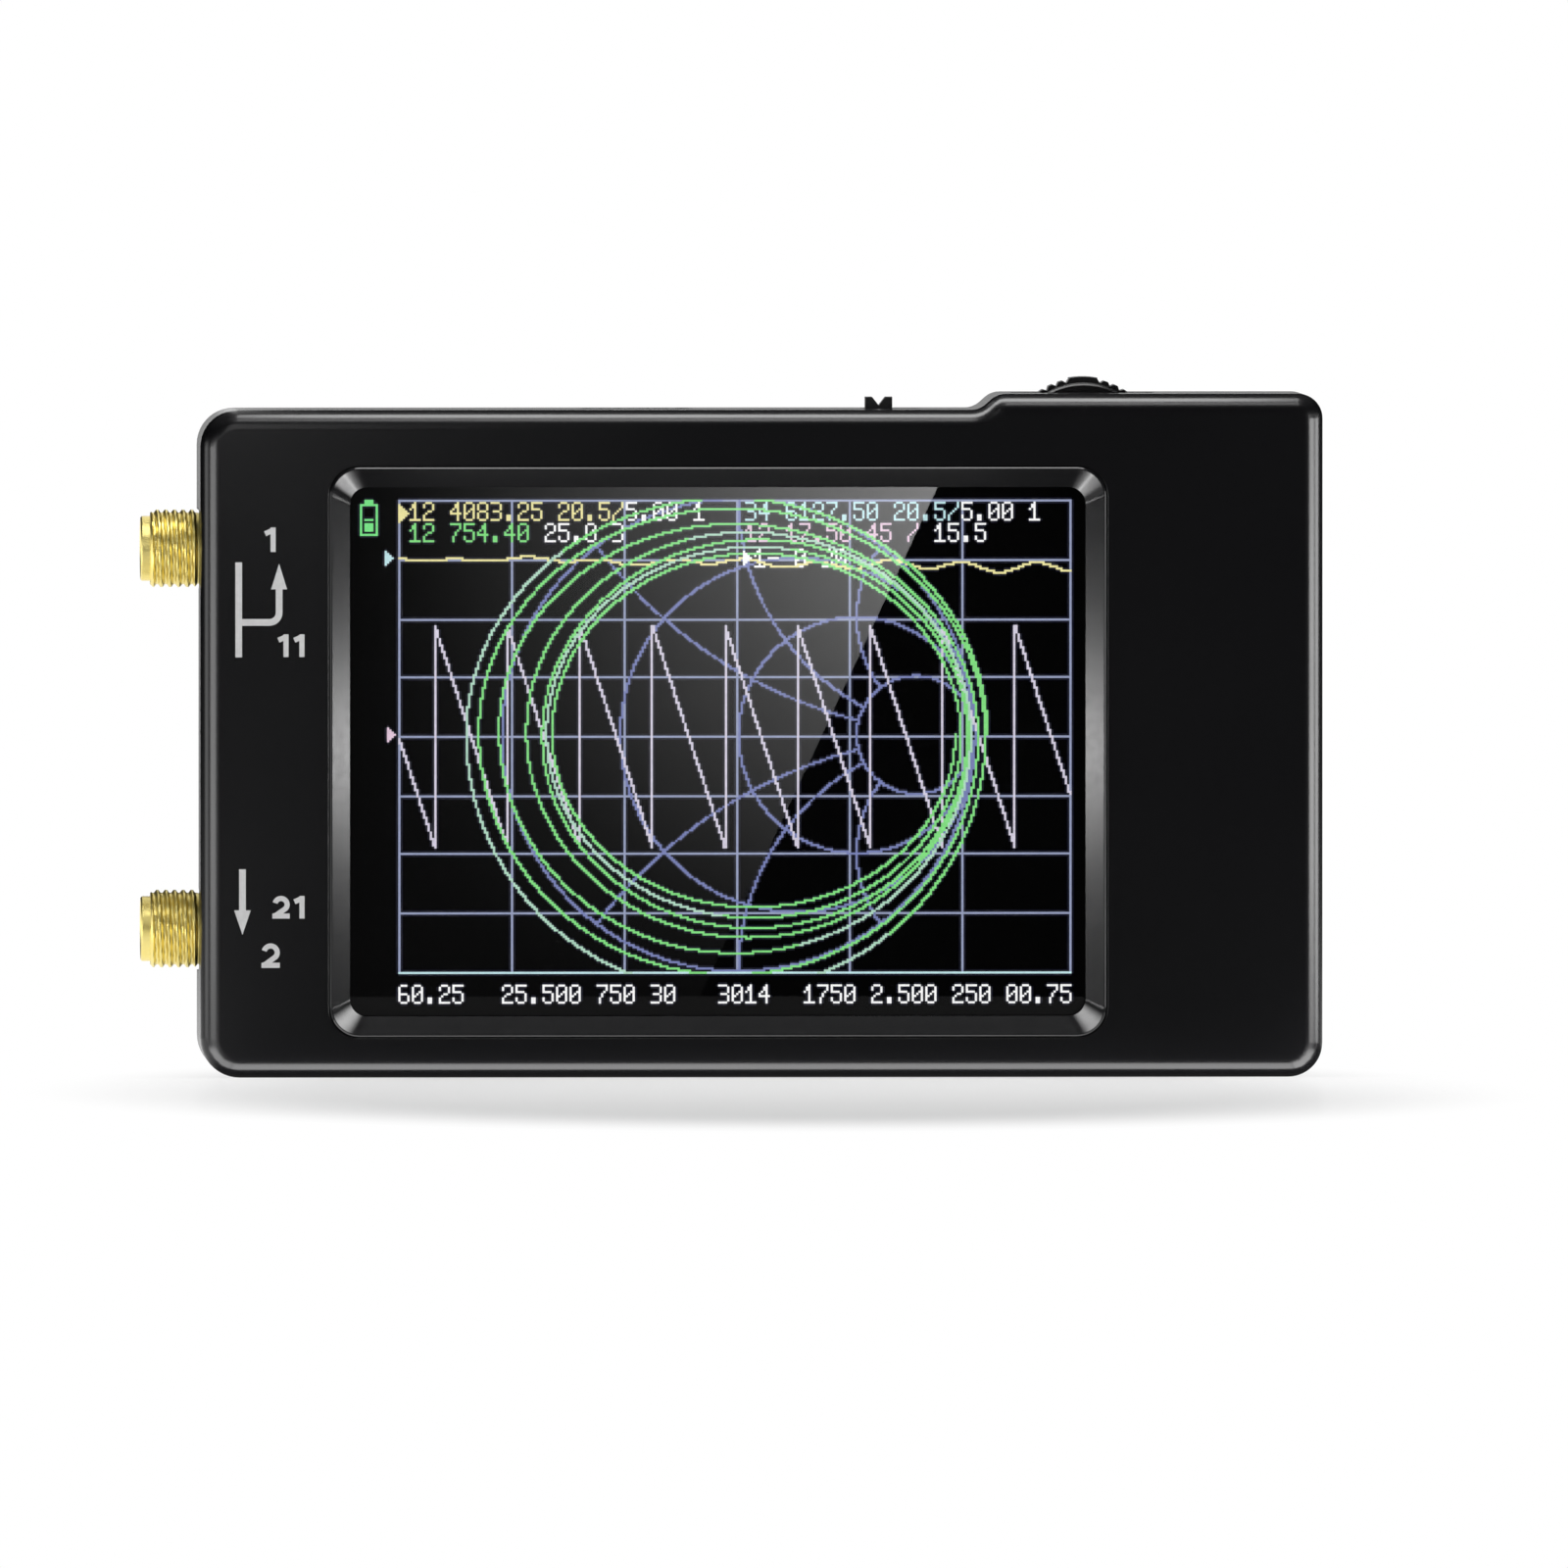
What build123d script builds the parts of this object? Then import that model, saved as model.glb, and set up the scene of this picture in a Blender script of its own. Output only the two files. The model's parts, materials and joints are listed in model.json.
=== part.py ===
from build123d import *
import math
import os

# Handheld antenna analyzer: a moulded case in two halves, a touch display behind a sloping
# bezel, a main board with two SMA ports, a flat cell, a slide switch and a thumb wheel.
#
# Frame: millimetres, +Z up, the front face looks towards -Y, +X is to the right seen from
# the front. The origin is the middle of the bottom face on which the instrument stands.
# Depths (Y) are counted from the axis of the ports, which lies in the parting plane.

# ---------------------------------------------------------------- case walls
wall = 1.8
edge_radius = 1.5
bottom_left_radius = 3.2
bottom_right_radius = 2.8
top_right_radius = 2.0
top_left_radius = 3.0
least_radius = 0.3

# The top edge steps up over the thumb wheel.
step_rise = 1.3
step_from_right = 28.04
step_angle = 42.0
step_radius = 1.8

# Tongue of the front half that enters the rear half.
tongue_thickness = 0.85
tongue_length = 1.2
tongue_clearance = 0.1

# Screw bosses near the four corners.
boss_radius = 2.5
boss_wall_gap = 0.8
boss_bottom_gap = 0.6
rib_thickness = 1.0

# Ribs inside the front half, beside the display and across the thumb zone.
front_rib_height = 3.4
cross_rib_from_boss = 2.5

# ---------------------------------------------------------------- display
window_width = 60.1
window_height = 43.2
window_corner = 1.4
bezel_width = 1.65
bezel_corner = 2.4
bezel_proud = 0.1
bezel_land = 0.2
bezel_edge_chamfer = 0.12
bezel_slope_depth = 1.1
bezel_seat_depth = 1.2
bezel_seat_width = 0.8
bezel_clearance = 0.1

glass_side_margin = 3.0
glass_edge_margin = 2.0
gasket_thickness = 0.3
gasket_window_margin = 1.0
touch_thickness = 1.1
touch_tape_thickness = 0.2
touch_tape_width = 1.6
lcd_thickness = 1.2
light_guide_thickness = 1.2
tray_sheet = 0.3
tray_clearance = 0.1
tray_rib_gap = 0.3
tray_rib_length = 7.0
tray_rib_from_corner = 3.0
pad_thickness = 0.42
pad_width = 4.0

# Free space between the screen tray and the case.
tray_left_gap = 1.2
tray_bottom_gap = 0.8
tray_top_gap = 2.1
thumb_zone_width = 17.73

# ---------------------------------------------------------------- ports
port_thread_radius = 3.175
port_reach = 4.75
port_nose_length = 0.8
port_nose_radius = 2.65
port_bore_radius = 2.3
port_bore_depth = 1.9
port_neck_radius = 2.9
port_neck_length = 0.1
port_hole_clearance = 0.15
port_chamfer = 0.2
insulator_radius = 2.05
contact_radius = 0.635
contact_socket_radius = 0.47
contact_socket_depth = 3.0
contact_tail_size = 0.76
contact_tail_length = 2.9
flange_size = 6.35
flange_thickness = 1.7
flange_wall_gap = 0.3
flange_corner = 0.4
leg_size = 1.0
leg_length = 4.0
port_low_gap = 1.425
port_high_gap = 0.825

# Shallow bay in the rear half of the left wall, round both ports and open to the back.
bay_depth = 0.4
bay_margin = 0.2

# ---------------------------------------------------------------- board
board_thickness = 1.6
board_clearance = 0.5
board_hole_clearance = 0.15

# ---------------------------------------------------------------- screws and inserts
screw_radius = 1.0
screw_length = 12.0
screw_head_radius = 1.9
screw_head_height = 1.2
screw_seat_depth = 1.5
screw_head_clearance = 0.3
screw_hole_clearance = 0.15
cross_recess_radius = 0.9
cross_recess_width = 0.35
cross_recess_depth = 0.6
insert_radius = 1.6
insert_length = 3.5
insert_sink = 0.05

# ---------------------------------------------------------------- cell
cell_width = 45.0
cell_height = 34.0
cell_thickness = 4.6
cell_edge_radius = 1.2
cell_space = 2.28
cell_tape_thickness = 0.2
cell_tape_width = 30.0
cell_tape_height = 20.0
cell_rib_height = 3.0
cell_rib_gap = 0.4
cell_from_jog = 0.7
lead_radius = 0.5
lead_pitch = 1.5
lead_length = 4.0
lead_from_cell_face = 0.7
lead_exit_below_top = 4.0
plug_length = 4.6
plug_height = 3.5
plug_width = 4.5
battery_socket_wall = 0.5
battery_socket_overlap = 3.2

# ---------------------------------------------------------------- chips and screening cans
can_width = 16.0
can_height = 18.0
can_lift = 2.1
can_sheet = 0.2
can_leg_gap = 1.5
chip_size = 10.0
chip_thickness = 1.4
radio_chip_size = 5.0
radio_chip_thickness = 0.9
crystal_length = 5.0
crystal_width = 3.2
crystal_corner = 0.8
crystal_thickness = 1.0
crystal_gap = 2.5

# ---------------------------------------------------------------- display ribbon
ribbon_width = 20.0
ribbon_thickness = 0.2
ribbon_run = 1.6
ribbon_drop_run = 1.4
ribbon_entry = 1.6
ribbon_bend = 0.6
ribbon_socket_length = 3.8
ribbon_socket_thickness = 1.2
ribbon_socket_margin = 1.2
ribbon_lift = 0.6

# ---------------------------------------------------------------- USB-C socket
usb_width = 8.94
usb_height = 3.2
usb_length = 7.35
usb_sheet = 0.3
usb_below_top = 0.3
usb_clearance = 0.2
usb_tongue_width = 6.6
usb_tongue_thickness = 0.7
usb_tongue_length = 4.6
usb_base_length = 1.6
usb_from_switch = 19.8

# ---------------------------------------------------------------- memory card socket
card_length = 14.0
card_width = 15.0
card_thickness = 1.9
card_sheet = 0.3
card_slot_width = 12.4
card_slot_thickness = 1.2
card_slot_clearance = 0.15
card_plug_gap = 3.25

# ---------------------------------------------------------------- power switch
knob_width = 2.2
knob_depth = 1.9
knob_proud = 0.95
knob_notch_depth = 0.7
knob_notch_width = 1.1
knob_travel = 2.0
knob_from_right = 36.0
knob_slot_clearance = 0.3
knob_foot_width = 3.4
knob_foot_depth = 2.6
knob_foot_height = 1.3
switch_width = 8.4
switch_depth = 3.8
switch_height = 3.9
switch_cover = 1.0
switch_play = 0.15
switch_ceiling_gap = 0.4

# ---------------------------------------------------------------- thumb wheel
wheel_radius = 6.5
wheel_proud = 1.3
wheel_thickness = 3.4
wheel_flange_radius = 5.95
wheel_flange_thickness = 0.6
wheel_flange_chamfer = 0.15
wheel_root_radius = 2.2
wheel_slot_clearance = 0.35
wheel_from_right = 19.25
wheel_land_width = 2.35
groove_pitch = 0.9
groove_depth = 0.27
ridge_drop = 0.12
groove_from_land = 0.3
jog_angle = 15.0
jog_travel = 0.5
hub_radius = 1.5
hub_thickness = 1.6
hub_gap = 0.3
pin_radius = 0.72
pin_clearance = 0.03
ear_radius = 1.6
plunger_half_width = 2.6
plunger_shoulder_width = 0.6
plunger_shoulder_height = 1.6
plunger_top_below_pin = 2.2
plunger_height = 4.5
plunger_stop_gap = 0.1
plunger_play = 0.15
plunger_slot_gap = 0.5
jog_body_half_width = 5.0
jog_body_wall = 0.6
jog_body_floor = 1.1
jog_body_below_top = 1.4
dome_radius = 1.5
dome_hole_radius = 0.2
dome_sheet = 0.1
dome_play = 0.02

# ---------------------------------------------------------------- worked out from the above
tray_rim = tray_clearance + tray_sheet
tray_overhang_x = glass_side_margin + tray_rim - bezel_width
tray_overhang_z = glass_edge_margin + tray_rim - bezel_width
bezel_outer_width = window_width + 2 * bezel_width
bezel_outer_height = window_height + 2 * bezel_width
glass_width = window_width + 2 * glass_side_margin
glass_height = window_height + 2 * glass_edge_margin

label_strip = wall + boss_wall_gap + 2 * boss_radius + tray_left_gap + tray_overhang_x
case_width = label_strip + bezel_outer_width + thumb_zone_width
bottom_band = wall + tray_bottom_gap + tray_overhang_z
case_height = bottom_band + bezel_outer_height + tray_overhang_z + tray_top_gap + wall
right_x = case_width / 2
left_x = -right_x
high_top = case_height + step_rise
window_x = left_x + label_strip + bezel_outer_width / 2
window_z = bottom_band + bezel_outer_height / 2

# Depth of each layer, from the ports' axis towards the front and towards the back.
parting_y = 0.0
board_rear_y = parting_y - contact_tail_size / 2
board_front_y = board_rear_y - board_thickness
tray_back_y = board_front_y - pad_thickness
guide_back_y = tray_back_y - tray_sheet
lcd_back_y = guide_back_y - light_guide_thickness
lcd_front_y = lcd_back_y - lcd_thickness
touch_back_y = lcd_front_y - touch_tape_thickness
touch_front_y = touch_back_y - touch_thickness
front_inner_y = touch_front_y - gasket_thickness
front_y = front_inner_y - wall
cell_front_y = board_rear_y + cell_space
cell_back_y = cell_front_y + cell_thickness
back_inner_y = cell_back_y + cell_tape_thickness
back_y = back_inner_y + wall

# Bosses, their screws and the ports between the two left bosses.
boss_x = right_x - wall - boss_wall_gap - boss_radius
boss_low_z = wall + boss_bottom_gap + boss_radius
boss_left_high_z = case_height - wall - boss_bottom_gap - boss_radius
boss_right_high_z = boss_left_high_z + step_rise
boss_centres = [
    (-boss_x, boss_low_z),
    (-boss_x, boss_left_high_z),
    (boss_x, boss_low_z),
    (boss_x, boss_right_high_z),
]
port_2_z = boss_low_z + boss_radius + port_low_gap + flange_size / 2
port_1_z = boss_left_high_z - boss_radius - port_high_gap - flange_size / 2
port_heights = {"1": port_1_z, "2": port_2_z}
port_tip_x = left_x - port_reach
flange_front_x = left_x + wall + flange_wall_gap
flange_back_x = flange_front_x + flange_thickness
leg_end_x = flange_back_x + leg_length
port_hole_radius = port_thread_radius + port_hole_clearance

# Ribs inside the front half: beside the tray's right rim, and from there to the side wall.
tray_rib_x = window_x + glass_width / 2 + tray_rim + tray_rib_gap
tray_rib_offset = glass_height / 2 + tray_rim - tray_rib_from_corner - tray_rib_length / 2
tray_rib_heights = [window_z - tray_rib_offset, window_z + tray_rib_offset]
cross_rib_offset = boss_radius + cross_rib_from_boss + rib_thickness / 2
cross_rib_heights = [boss_low_z + cross_rib_offset, boss_right_high_z - cross_rib_offset]

# Controls on the top edge.
step_foot_x = right_x - step_from_right
knob_x = right_x - knob_from_right
knob_middle_x = knob_x + knob_travel / 2
knob_y = board_rear_y + switch_depth / 2
usb_x = knob_x - usb_from_switch
usb_y = board_rear_y + usb_height / 2
wheel_x = right_x - wheel_from_right
wheel_z = high_top + wheel_proud - wheel_radius
wheel_front_y = parting_y + wheel_slot_clearance
wheel_back_y = wheel_front_y + wheel_thickness
wheel_middle_y = (wheel_front_y + wheel_back_y) / 2
# The fan of the wheel still fills the mouth of its slot when it is turned to a stop.
wheel_half_angle = math.degrees(math.acos((high_top - wheel_z) / wheel_radius)) + jog_angle
ceiling_to_pin = high_top - wall - wheel_z
wheel_slot_half = math.sqrt(wheel_radius**2 - ceiling_to_pin**2) + wheel_slot_clearance
plunger_top_z = wheel_z - plunger_top_below_pin
plunger_bottom_z = plunger_top_z - plunger_height
plunger_floor_gap = jog_travel + plunger_stop_gap
jog_floor_z = plunger_bottom_z - plunger_floor_gap
jog_body_bottom_z = jog_floor_z - jog_body_floor
jog_body_top_z = plunger_top_z - jog_body_below_top

# Cell, its leads and plug; the cell sits under the thumb wheel's housing.
can_left_x = leg_end_x + can_leg_gap
cell_left_x = can_left_x + can_width + rib_thickness + 2 * cell_rib_gap
cell_right_x = cell_left_x + cell_width
cell_top_z = jog_body_bottom_z - cell_from_jog
cell_bottom_z = cell_top_z - cell_height
cell_x = (cell_left_x + cell_right_x) / 2
cell_z = (cell_bottom_z + cell_top_z) / 2
plug_left_x = cell_right_x + lead_length
plug_y = cell_front_y + lead_from_cell_face
plug_z = cell_top_z - lead_exit_below_top

# Memory card socket below the cell's plug.
card_slot_y = board_rear_y + card_thickness / 2
card_z = plug_z - plug_width / 2 - battery_socket_wall - card_plug_gap - card_width / 2

through = 2.0


def depth_plane(y):
    """Plane parallel to the front face at depth y; its normal points to the front."""
    return Plane((0, y, 0), x_dir=(1, 0, 0), z_dir=(0, -1, 0))


def case_profile(inset):
    """Outline of the case seen from the front, drawn in by inset all round."""
    slope = math.radians(step_angle)
    slope_shift = inset * math.tan(slope / 2)
    step_top_x = step_foot_x + step_rise / math.tan(slope)
    points = [
        (left_x + inset, inset),
        (right_x - inset, inset),
        (right_x - inset, high_top - inset),
        (step_top_x + slope_shift, high_top - inset),
        (step_foot_x + slope_shift, case_height - inset),
        (left_x + inset, case_height - inset),
    ]
    corner_radii = [
        max(bottom_left_radius - inset, least_radius),
        max(bottom_right_radius - inset, least_radius),
        max(top_right_radius - inset, least_radius),
        max(step_radius - inset, least_radius),
        step_radius + inset,
        max(top_left_radius - inset, least_radius),
    ]
    with BuildSketch() as profile:
        with BuildLine():
            FilletPolyline(points, radius=corner_radii, close=True)
        make_face()
    return profile.sketch


def save(part, name):
    """Label a finished piece and write it under its node name."""
    part.label = name
    export_step(part, f"parts/{name}.step")


os.makedirs("parts", exist_ok=True)

# ---------------------------------------------------------------- openings through the walls
# One tool body for both halves, so that every opening meets at the parting plane.
with BuildPart() as wall_openings:
    # Two round holes for the port barrels.
    with BuildSketch(Plane((left_x - through, parting_y, 0), x_dir=(0, 1, 0), z_dir=(1, 0, 0))):
        with Locations(*[(0, z) for z in port_heights.values()]):
            Circle(port_hole_radius)
    extrude(amount=wall + 2 * through)
    # Stadium opening round the USB socket.
    with BuildSketch(Plane.XY.offset(case_height - wall - board_clearance)):
        with Locations((usb_x, usb_y)):
            SlotOverall(usb_width + 2 * usb_clearance, usb_height + 2 * usb_clearance)
    extrude(amount=wall + board_clearance + through)
    # Slot in which the power knob slides, open to the parting plane.
    with BuildSketch(Plane.XY.offset(case_height - wall - switch_play)):
        with Locations((knob_middle_x, parting_y)):
            Rectangle(
                knob_width + knob_travel + 2 * knob_slot_clearance,
                knob_y + knob_depth / 2 + knob_slot_clearance - parting_y,
                align=(Align.CENTER, Align.MIN),
            )
    extrude(amount=wall + switch_play + through)
    # Slot for the thumb wheel, open to the parting plane.
    with BuildSketch(Plane.XY.offset(high_top - wall - switch_play)):
        with Locations((wheel_x, parting_y)):
            Rectangle(
                2 * wheel_slot_half,
                wheel_thickness + 2 * wheel_slot_clearance,
                align=(Align.CENTER, Align.MIN),
            )
    extrude(amount=wall + switch_play + through)
    # Slot for the memory card in the right wall.
    with BuildSketch(Plane((right_x - wall - switch_play, 0, 0), x_dir=(0, 1, 0), z_dir=(1, 0, 0))):
        with Locations((card_slot_y, card_z)):
            Rectangle(
                card_slot_thickness + 2 * card_slot_clearance,
                card_slot_width + 2 * card_slot_clearance,
            )
    extrude(amount=wall + switch_play + through)

# The tongue stops short wherever something passes through the wall.
with BuildPart() as tongue_gaps:
    with BuildSketch(Plane((left_x - through, parting_y, 0), x_dir=(0, 1, 0), z_dir=(1, 0, 0))):
        with Locations(*[(0, z) for z in port_heights.values()]):
            Rectangle(
                tongue_length + through, 2 * port_hole_radius, align=(Align.MIN, Align.CENTER)
            )
    extrude(amount=wall + 2 * through)
    with BuildSketch(Plane.XY.offset(case_height - wall - board_clearance)):
        with Locations((usb_x, parting_y)):
            Rectangle(
                usb_width + 2 * usb_clearance,
                tongue_length + through,
                align=(Align.CENTER, Align.MIN),
            )
        with Locations((knob_middle_x, parting_y)):
            Rectangle(
                knob_width + knob_travel + 2 * knob_slot_clearance,
                tongue_length + through,
                align=(Align.CENTER, Align.MIN),
            )
        with Locations((wheel_x, parting_y)):
            Rectangle(
                2 * wheel_slot_half,
                tongue_length + through,
                align=(Align.CENTER, Align.MIN),
            )
    extrude(amount=wall + board_clearance + step_rise + through)
    with BuildSketch(Plane((right_x - wall - switch_play, 0, 0), x_dir=(0, 1, 0), z_dir=(1, 0, 0))):
        with Locations((parting_y, card_z)):
            Rectangle(
                tongue_length + through,
                card_slot_width + 2 * card_slot_clearance,
                align=(Align.MIN, Align.CENTER),
            )
    extrude(amount=wall + switch_play + through)

# ---------------------------------------------------------------- front cover
with BuildPart() as front_cover:
    with BuildSketch(depth_plane(parting_y)):
        add(case_profile(0))
    extrude(amount=parting_y - front_y)
    fillet(front_cover.faces().sort_by(Axis.Y)[0].edges(), radius=edge_radius)
    with BuildSketch(depth_plane(parting_y)):
        add(case_profile(wall))
    extrude(amount=parting_y - front_inner_y, mode=Mode.SUBTRACT)
    # Tongue along the inner side of the rim.
    with BuildSketch(depth_plane(parting_y)):
        add(case_profile(wall - tongue_thickness))
        add(case_profile(wall), mode=Mode.SUBTRACT)
    extrude(amount=-tongue_length)
    # Corner bosses with a web to the side wall.
    with BuildSketch(depth_plane(board_front_y)):
        with Locations(*boss_centres):
            Circle(boss_radius)
        for side, near in ((-1, Align.MAX), (1, Align.MIN)):
            with Locations(*[(x, z) for x, z in boss_centres if x * side > 0]):
                Rectangle(
                    boss_radius + boss_wall_gap + wall / 2,
                    rib_thickness,
                    align=(near, Align.CENTER),
                )
    extrude(amount=board_front_y - front_inner_y)
    with BuildSketch(depth_plane(board_front_y)):
        with Locations(*boss_centres):
            Circle(insert_radius)
    extrude(amount=insert_length + 2 * insert_sink, mode=Mode.SUBTRACT)
    # Two short ribs that keep the screen tray from moving to the right.
    with BuildSketch(depth_plane(front_inner_y)):
        for tray_rib_z in tray_rib_heights:
            with Locations((tray_rib_x, tray_rib_z)):
                Rectangle(rib_thickness, tray_rib_length, align=(Align.MIN, Align.CENTER))
    extrude(amount=-front_rib_height)
    # Two ribs across the thumb zone, from there to the side wall.
    with BuildSketch(depth_plane(front_inner_y)):
        for cross_rib_z in cross_rib_heights:
            with Locations((tray_rib_x, cross_rib_z)):
                Rectangle(
                    right_x - wall / 2 - tray_rib_x, rib_thickness, align=(Align.MIN, Align.CENTER)
                )
    extrude(amount=-front_rib_height)
    # Stepped window: a seat for the bezel, then the opening for its spigot.
    with BuildSketch(depth_plane(front_y)):
        with Locations((window_x, window_z)):
            RectangleRounded(
                bezel_outer_width + 2 * bezel_clearance,
                bezel_outer_height + 2 * bezel_clearance,
                bezel_corner + bezel_clearance,
            )
    extrude(amount=-bezel_seat_depth, mode=Mode.SUBTRACT)
    with BuildSketch(depth_plane(front_y)):
        with Locations((window_x, window_z)):
            RectangleRounded(
                bezel_outer_width - 2 * (bezel_seat_width - bezel_clearance),
                bezel_outer_height - 2 * (bezel_seat_width - bezel_clearance),
                bezel_corner - bezel_seat_width + bezel_clearance,
            )
    extrude(amount=-wall, mode=Mode.SUBTRACT)
    add(wall_openings.part, mode=Mode.SUBTRACT)
    add(tongue_gaps.part, mode=Mode.SUBTRACT)
save(front_cover.part, "front_cover")

# ---------------------------------------------------------------- rear cover
with BuildPart() as rear_cover:
    with BuildSketch(depth_plane(parting_y)):
        add(case_profile(0))
    extrude(amount=parting_y - back_y)
    fillet(rear_cover.faces().sort_by(Axis.Y)[-1].edges(), radius=edge_radius)
    with BuildSketch(depth_plane(parting_y)):
        add(case_profile(wall))
    extrude(amount=parting_y - back_inner_y, mode=Mode.SUBTRACT)
    # Rebate that takes the front cover's tongue.
    with BuildSketch(depth_plane(parting_y)):
        add(case_profile(wall - tongue_thickness - tongue_clearance))
    extrude(amount=-(tongue_length + tongue_clearance), mode=Mode.SUBTRACT)
    # Screw posts down to the board.
    with BuildSketch(depth_plane(board_rear_y)):
        with Locations(*boss_centres):
            Circle(boss_radius)
    extrude(amount=board_rear_y - back_inner_y)
    # Ribs along the lower half of the cell's ends and the left half of its long sides.
    with BuildSketch(depth_plane(back_inner_y)):
        with Locations((cell_left_x - cell_rib_gap, cell_bottom_z)):
            Rectangle(rib_thickness, cell_height / 2, align=(Align.MAX, Align.MIN))
        with Locations((cell_right_x + cell_rib_gap, cell_bottom_z)):
            Rectangle(rib_thickness, cell_height / 2, align=(Align.MIN, Align.MIN))
        with Locations((cell_left_x, cell_bottom_z - cell_rib_gap)):
            Rectangle(cell_width / 2, rib_thickness, align=(Align.MIN, Align.MAX))
        with Locations((cell_left_x, cell_top_z + cell_rib_gap)):
            Rectangle(cell_width / 2, rib_thickness, align=(Align.MIN, Align.MIN))
    extrude(amount=cell_rib_height)
    # Screw holes, counterbored from the back.
    with Locations(*[Plane((x, back_y, z), z_dir=(0, 1, 0)) for x, z in boss_centres]):
        CounterBoreHole(
            radius=screw_radius + screw_hole_clearance,
            counter_bore_radius=screw_head_radius + screw_head_clearance,
            counter_bore_depth=screw_seat_depth,
        )
    # Bay round the ports.
    bay_bottom_z = port_2_z - port_hole_radius - bay_margin
    bay_top_z = port_1_z + port_hole_radius - bay_margin
    with BuildSketch(Plane((left_x, 0, 0), x_dir=(0, 1, 0), z_dir=(1, 0, 0))):
        with Locations((parting_y, bay_bottom_z)):
            Rectangle(
                back_y - parting_y,
                bay_top_z - bay_bottom_z,
                align=(Align.MIN, Align.MIN),
            )
    extrude(amount=bay_depth, mode=Mode.SUBTRACT)
    add(wall_openings.part, mode=Mode.SUBTRACT)
save(rear_cover.part, "rear_cover")

# ---------------------------------------------------------------- screws and their inserts
screw_seat_y = back_y - screw_seat_depth
with BuildPart() as case_screws:
    with BuildSketch(depth_plane(screw_seat_y)):
        with Locations(*boss_centres):
            Circle(screw_radius)
    extrude(amount=screw_length)
    with BuildSketch(depth_plane(screw_seat_y)):
        with Locations(*boss_centres):
            Circle(screw_head_radius)
    extrude(amount=-screw_head_height)
    with BuildSketch(depth_plane(screw_seat_y + screw_head_height)):
        with Locations(*boss_centres):
            Rectangle(2 * cross_recess_radius, cross_recess_width)
            Rectangle(cross_recess_width, 2 * cross_recess_radius)
    extrude(amount=cross_recess_depth, mode=Mode.SUBTRACT)
save(case_screws.part, "case_screws")

with BuildPart() as screw_inserts:
    with BuildSketch(depth_plane(board_front_y - insert_sink)):
        with Locations(*boss_centres):
            Circle(insert_radius)
            Circle(screw_radius, mode=Mode.SUBTRACT)
    extrude(amount=insert_length)
save(screw_inserts.part, "screw_inserts")

# ---------------------------------------------------------------- screen bezel
with BuildPart() as screen_bezel:
    bezel_front_y = front_y - bezel_proud
    with BuildSketch(depth_plane(front_y + bezel_seat_depth)):
        with Locations((window_x, window_z)):
            RectangleRounded(bezel_outer_width, bezel_outer_height, bezel_corner)
    extrude(amount=bezel_seat_depth + bezel_proud)
    chamfer(screen_bezel.faces().sort_by(Axis.Y)[0].edges(), length=bezel_edge_chamfer)
    # Spigot that fills the opening behind the seat.
    with BuildSketch(depth_plane(front_y + bezel_seat_depth)):
        with Locations((window_x, window_z)):
            RectangleRounded(
                bezel_outer_width - 2 * bezel_seat_width,
                bezel_outer_height - 2 * bezel_seat_width,
                bezel_corner - bezel_seat_width,
            )
    extrude(amount=bezel_seat_depth - wall)
    # Slope from the land down to the window.
    with BuildSketch(depth_plane(bezel_front_y)):
        with Locations((window_x, window_z)):
            RectangleRounded(
                bezel_outer_width - 2 * bezel_land,
                bezel_outer_height - 2 * bezel_land,
                bezel_corner - bezel_land,
            )
    with BuildSketch(depth_plane(bezel_front_y + bezel_slope_depth)):
        with Locations((window_x, window_z)):
            RectangleRounded(window_width, window_height, window_corner)
    loft(mode=Mode.SUBTRACT)
    with BuildSketch(depth_plane(bezel_front_y)):
        with Locations((window_x, window_z)):
            RectangleRounded(window_width, window_height, window_corner)
    extrude(amount=-(wall + bezel_proud), mode=Mode.SUBTRACT)
save(screen_bezel.part, "screen_bezel")

# ---------------------------------------------------------------- display stack
with BuildPart() as screen_gasket:
    with BuildSketch(depth_plane(touch_front_y)):
        with Locations((window_x, window_z)):
            Rectangle(glass_width, glass_height)
            Rectangle(
                window_width + 2 * gasket_window_margin,
                window_height + 2 * gasket_window_margin,
                mode=Mode.SUBTRACT,
            )
    extrude(amount=gasket_thickness)
save(screen_gasket.part, "screen_gasket")

with BuildPart() as touch_panel:
    with BuildSketch(depth_plane(touch_back_y)):
        with Locations((window_x, window_z)):
            Rectangle(glass_width, glass_height)
    extrude(amount=touch_thickness)
save(touch_panel.part, "touch_panel")

with BuildPart() as touch_tape:
    with BuildSketch(depth_plane(lcd_front_y)):
        with Locations((window_x, window_z)):
            Rectangle(glass_width, glass_height)
            Rectangle(
                glass_width - 2 * touch_tape_width,
                glass_height - 2 * touch_tape_width,
                mode=Mode.SUBTRACT,
            )
    extrude(amount=touch_tape_thickness)
save(touch_tape.part, "touch_tape")

with BuildPart() as lcd_panel:
    with BuildSketch(depth_plane(lcd_back_y)):
        with Locations((window_x, window_z)):
            Rectangle(glass_width, glass_height)
    extrude(amount=lcd_thickness)
save(lcd_panel.part, "lcd_panel")

with BuildPart() as light_guide:
    with BuildSketch(depth_plane(guide_back_y)):
        with Locations((window_x, window_z)):
            Rectangle(glass_width, glass_height)
    extrude(amount=light_guide_thickness)
save(light_guide.part, "light_guide")

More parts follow.
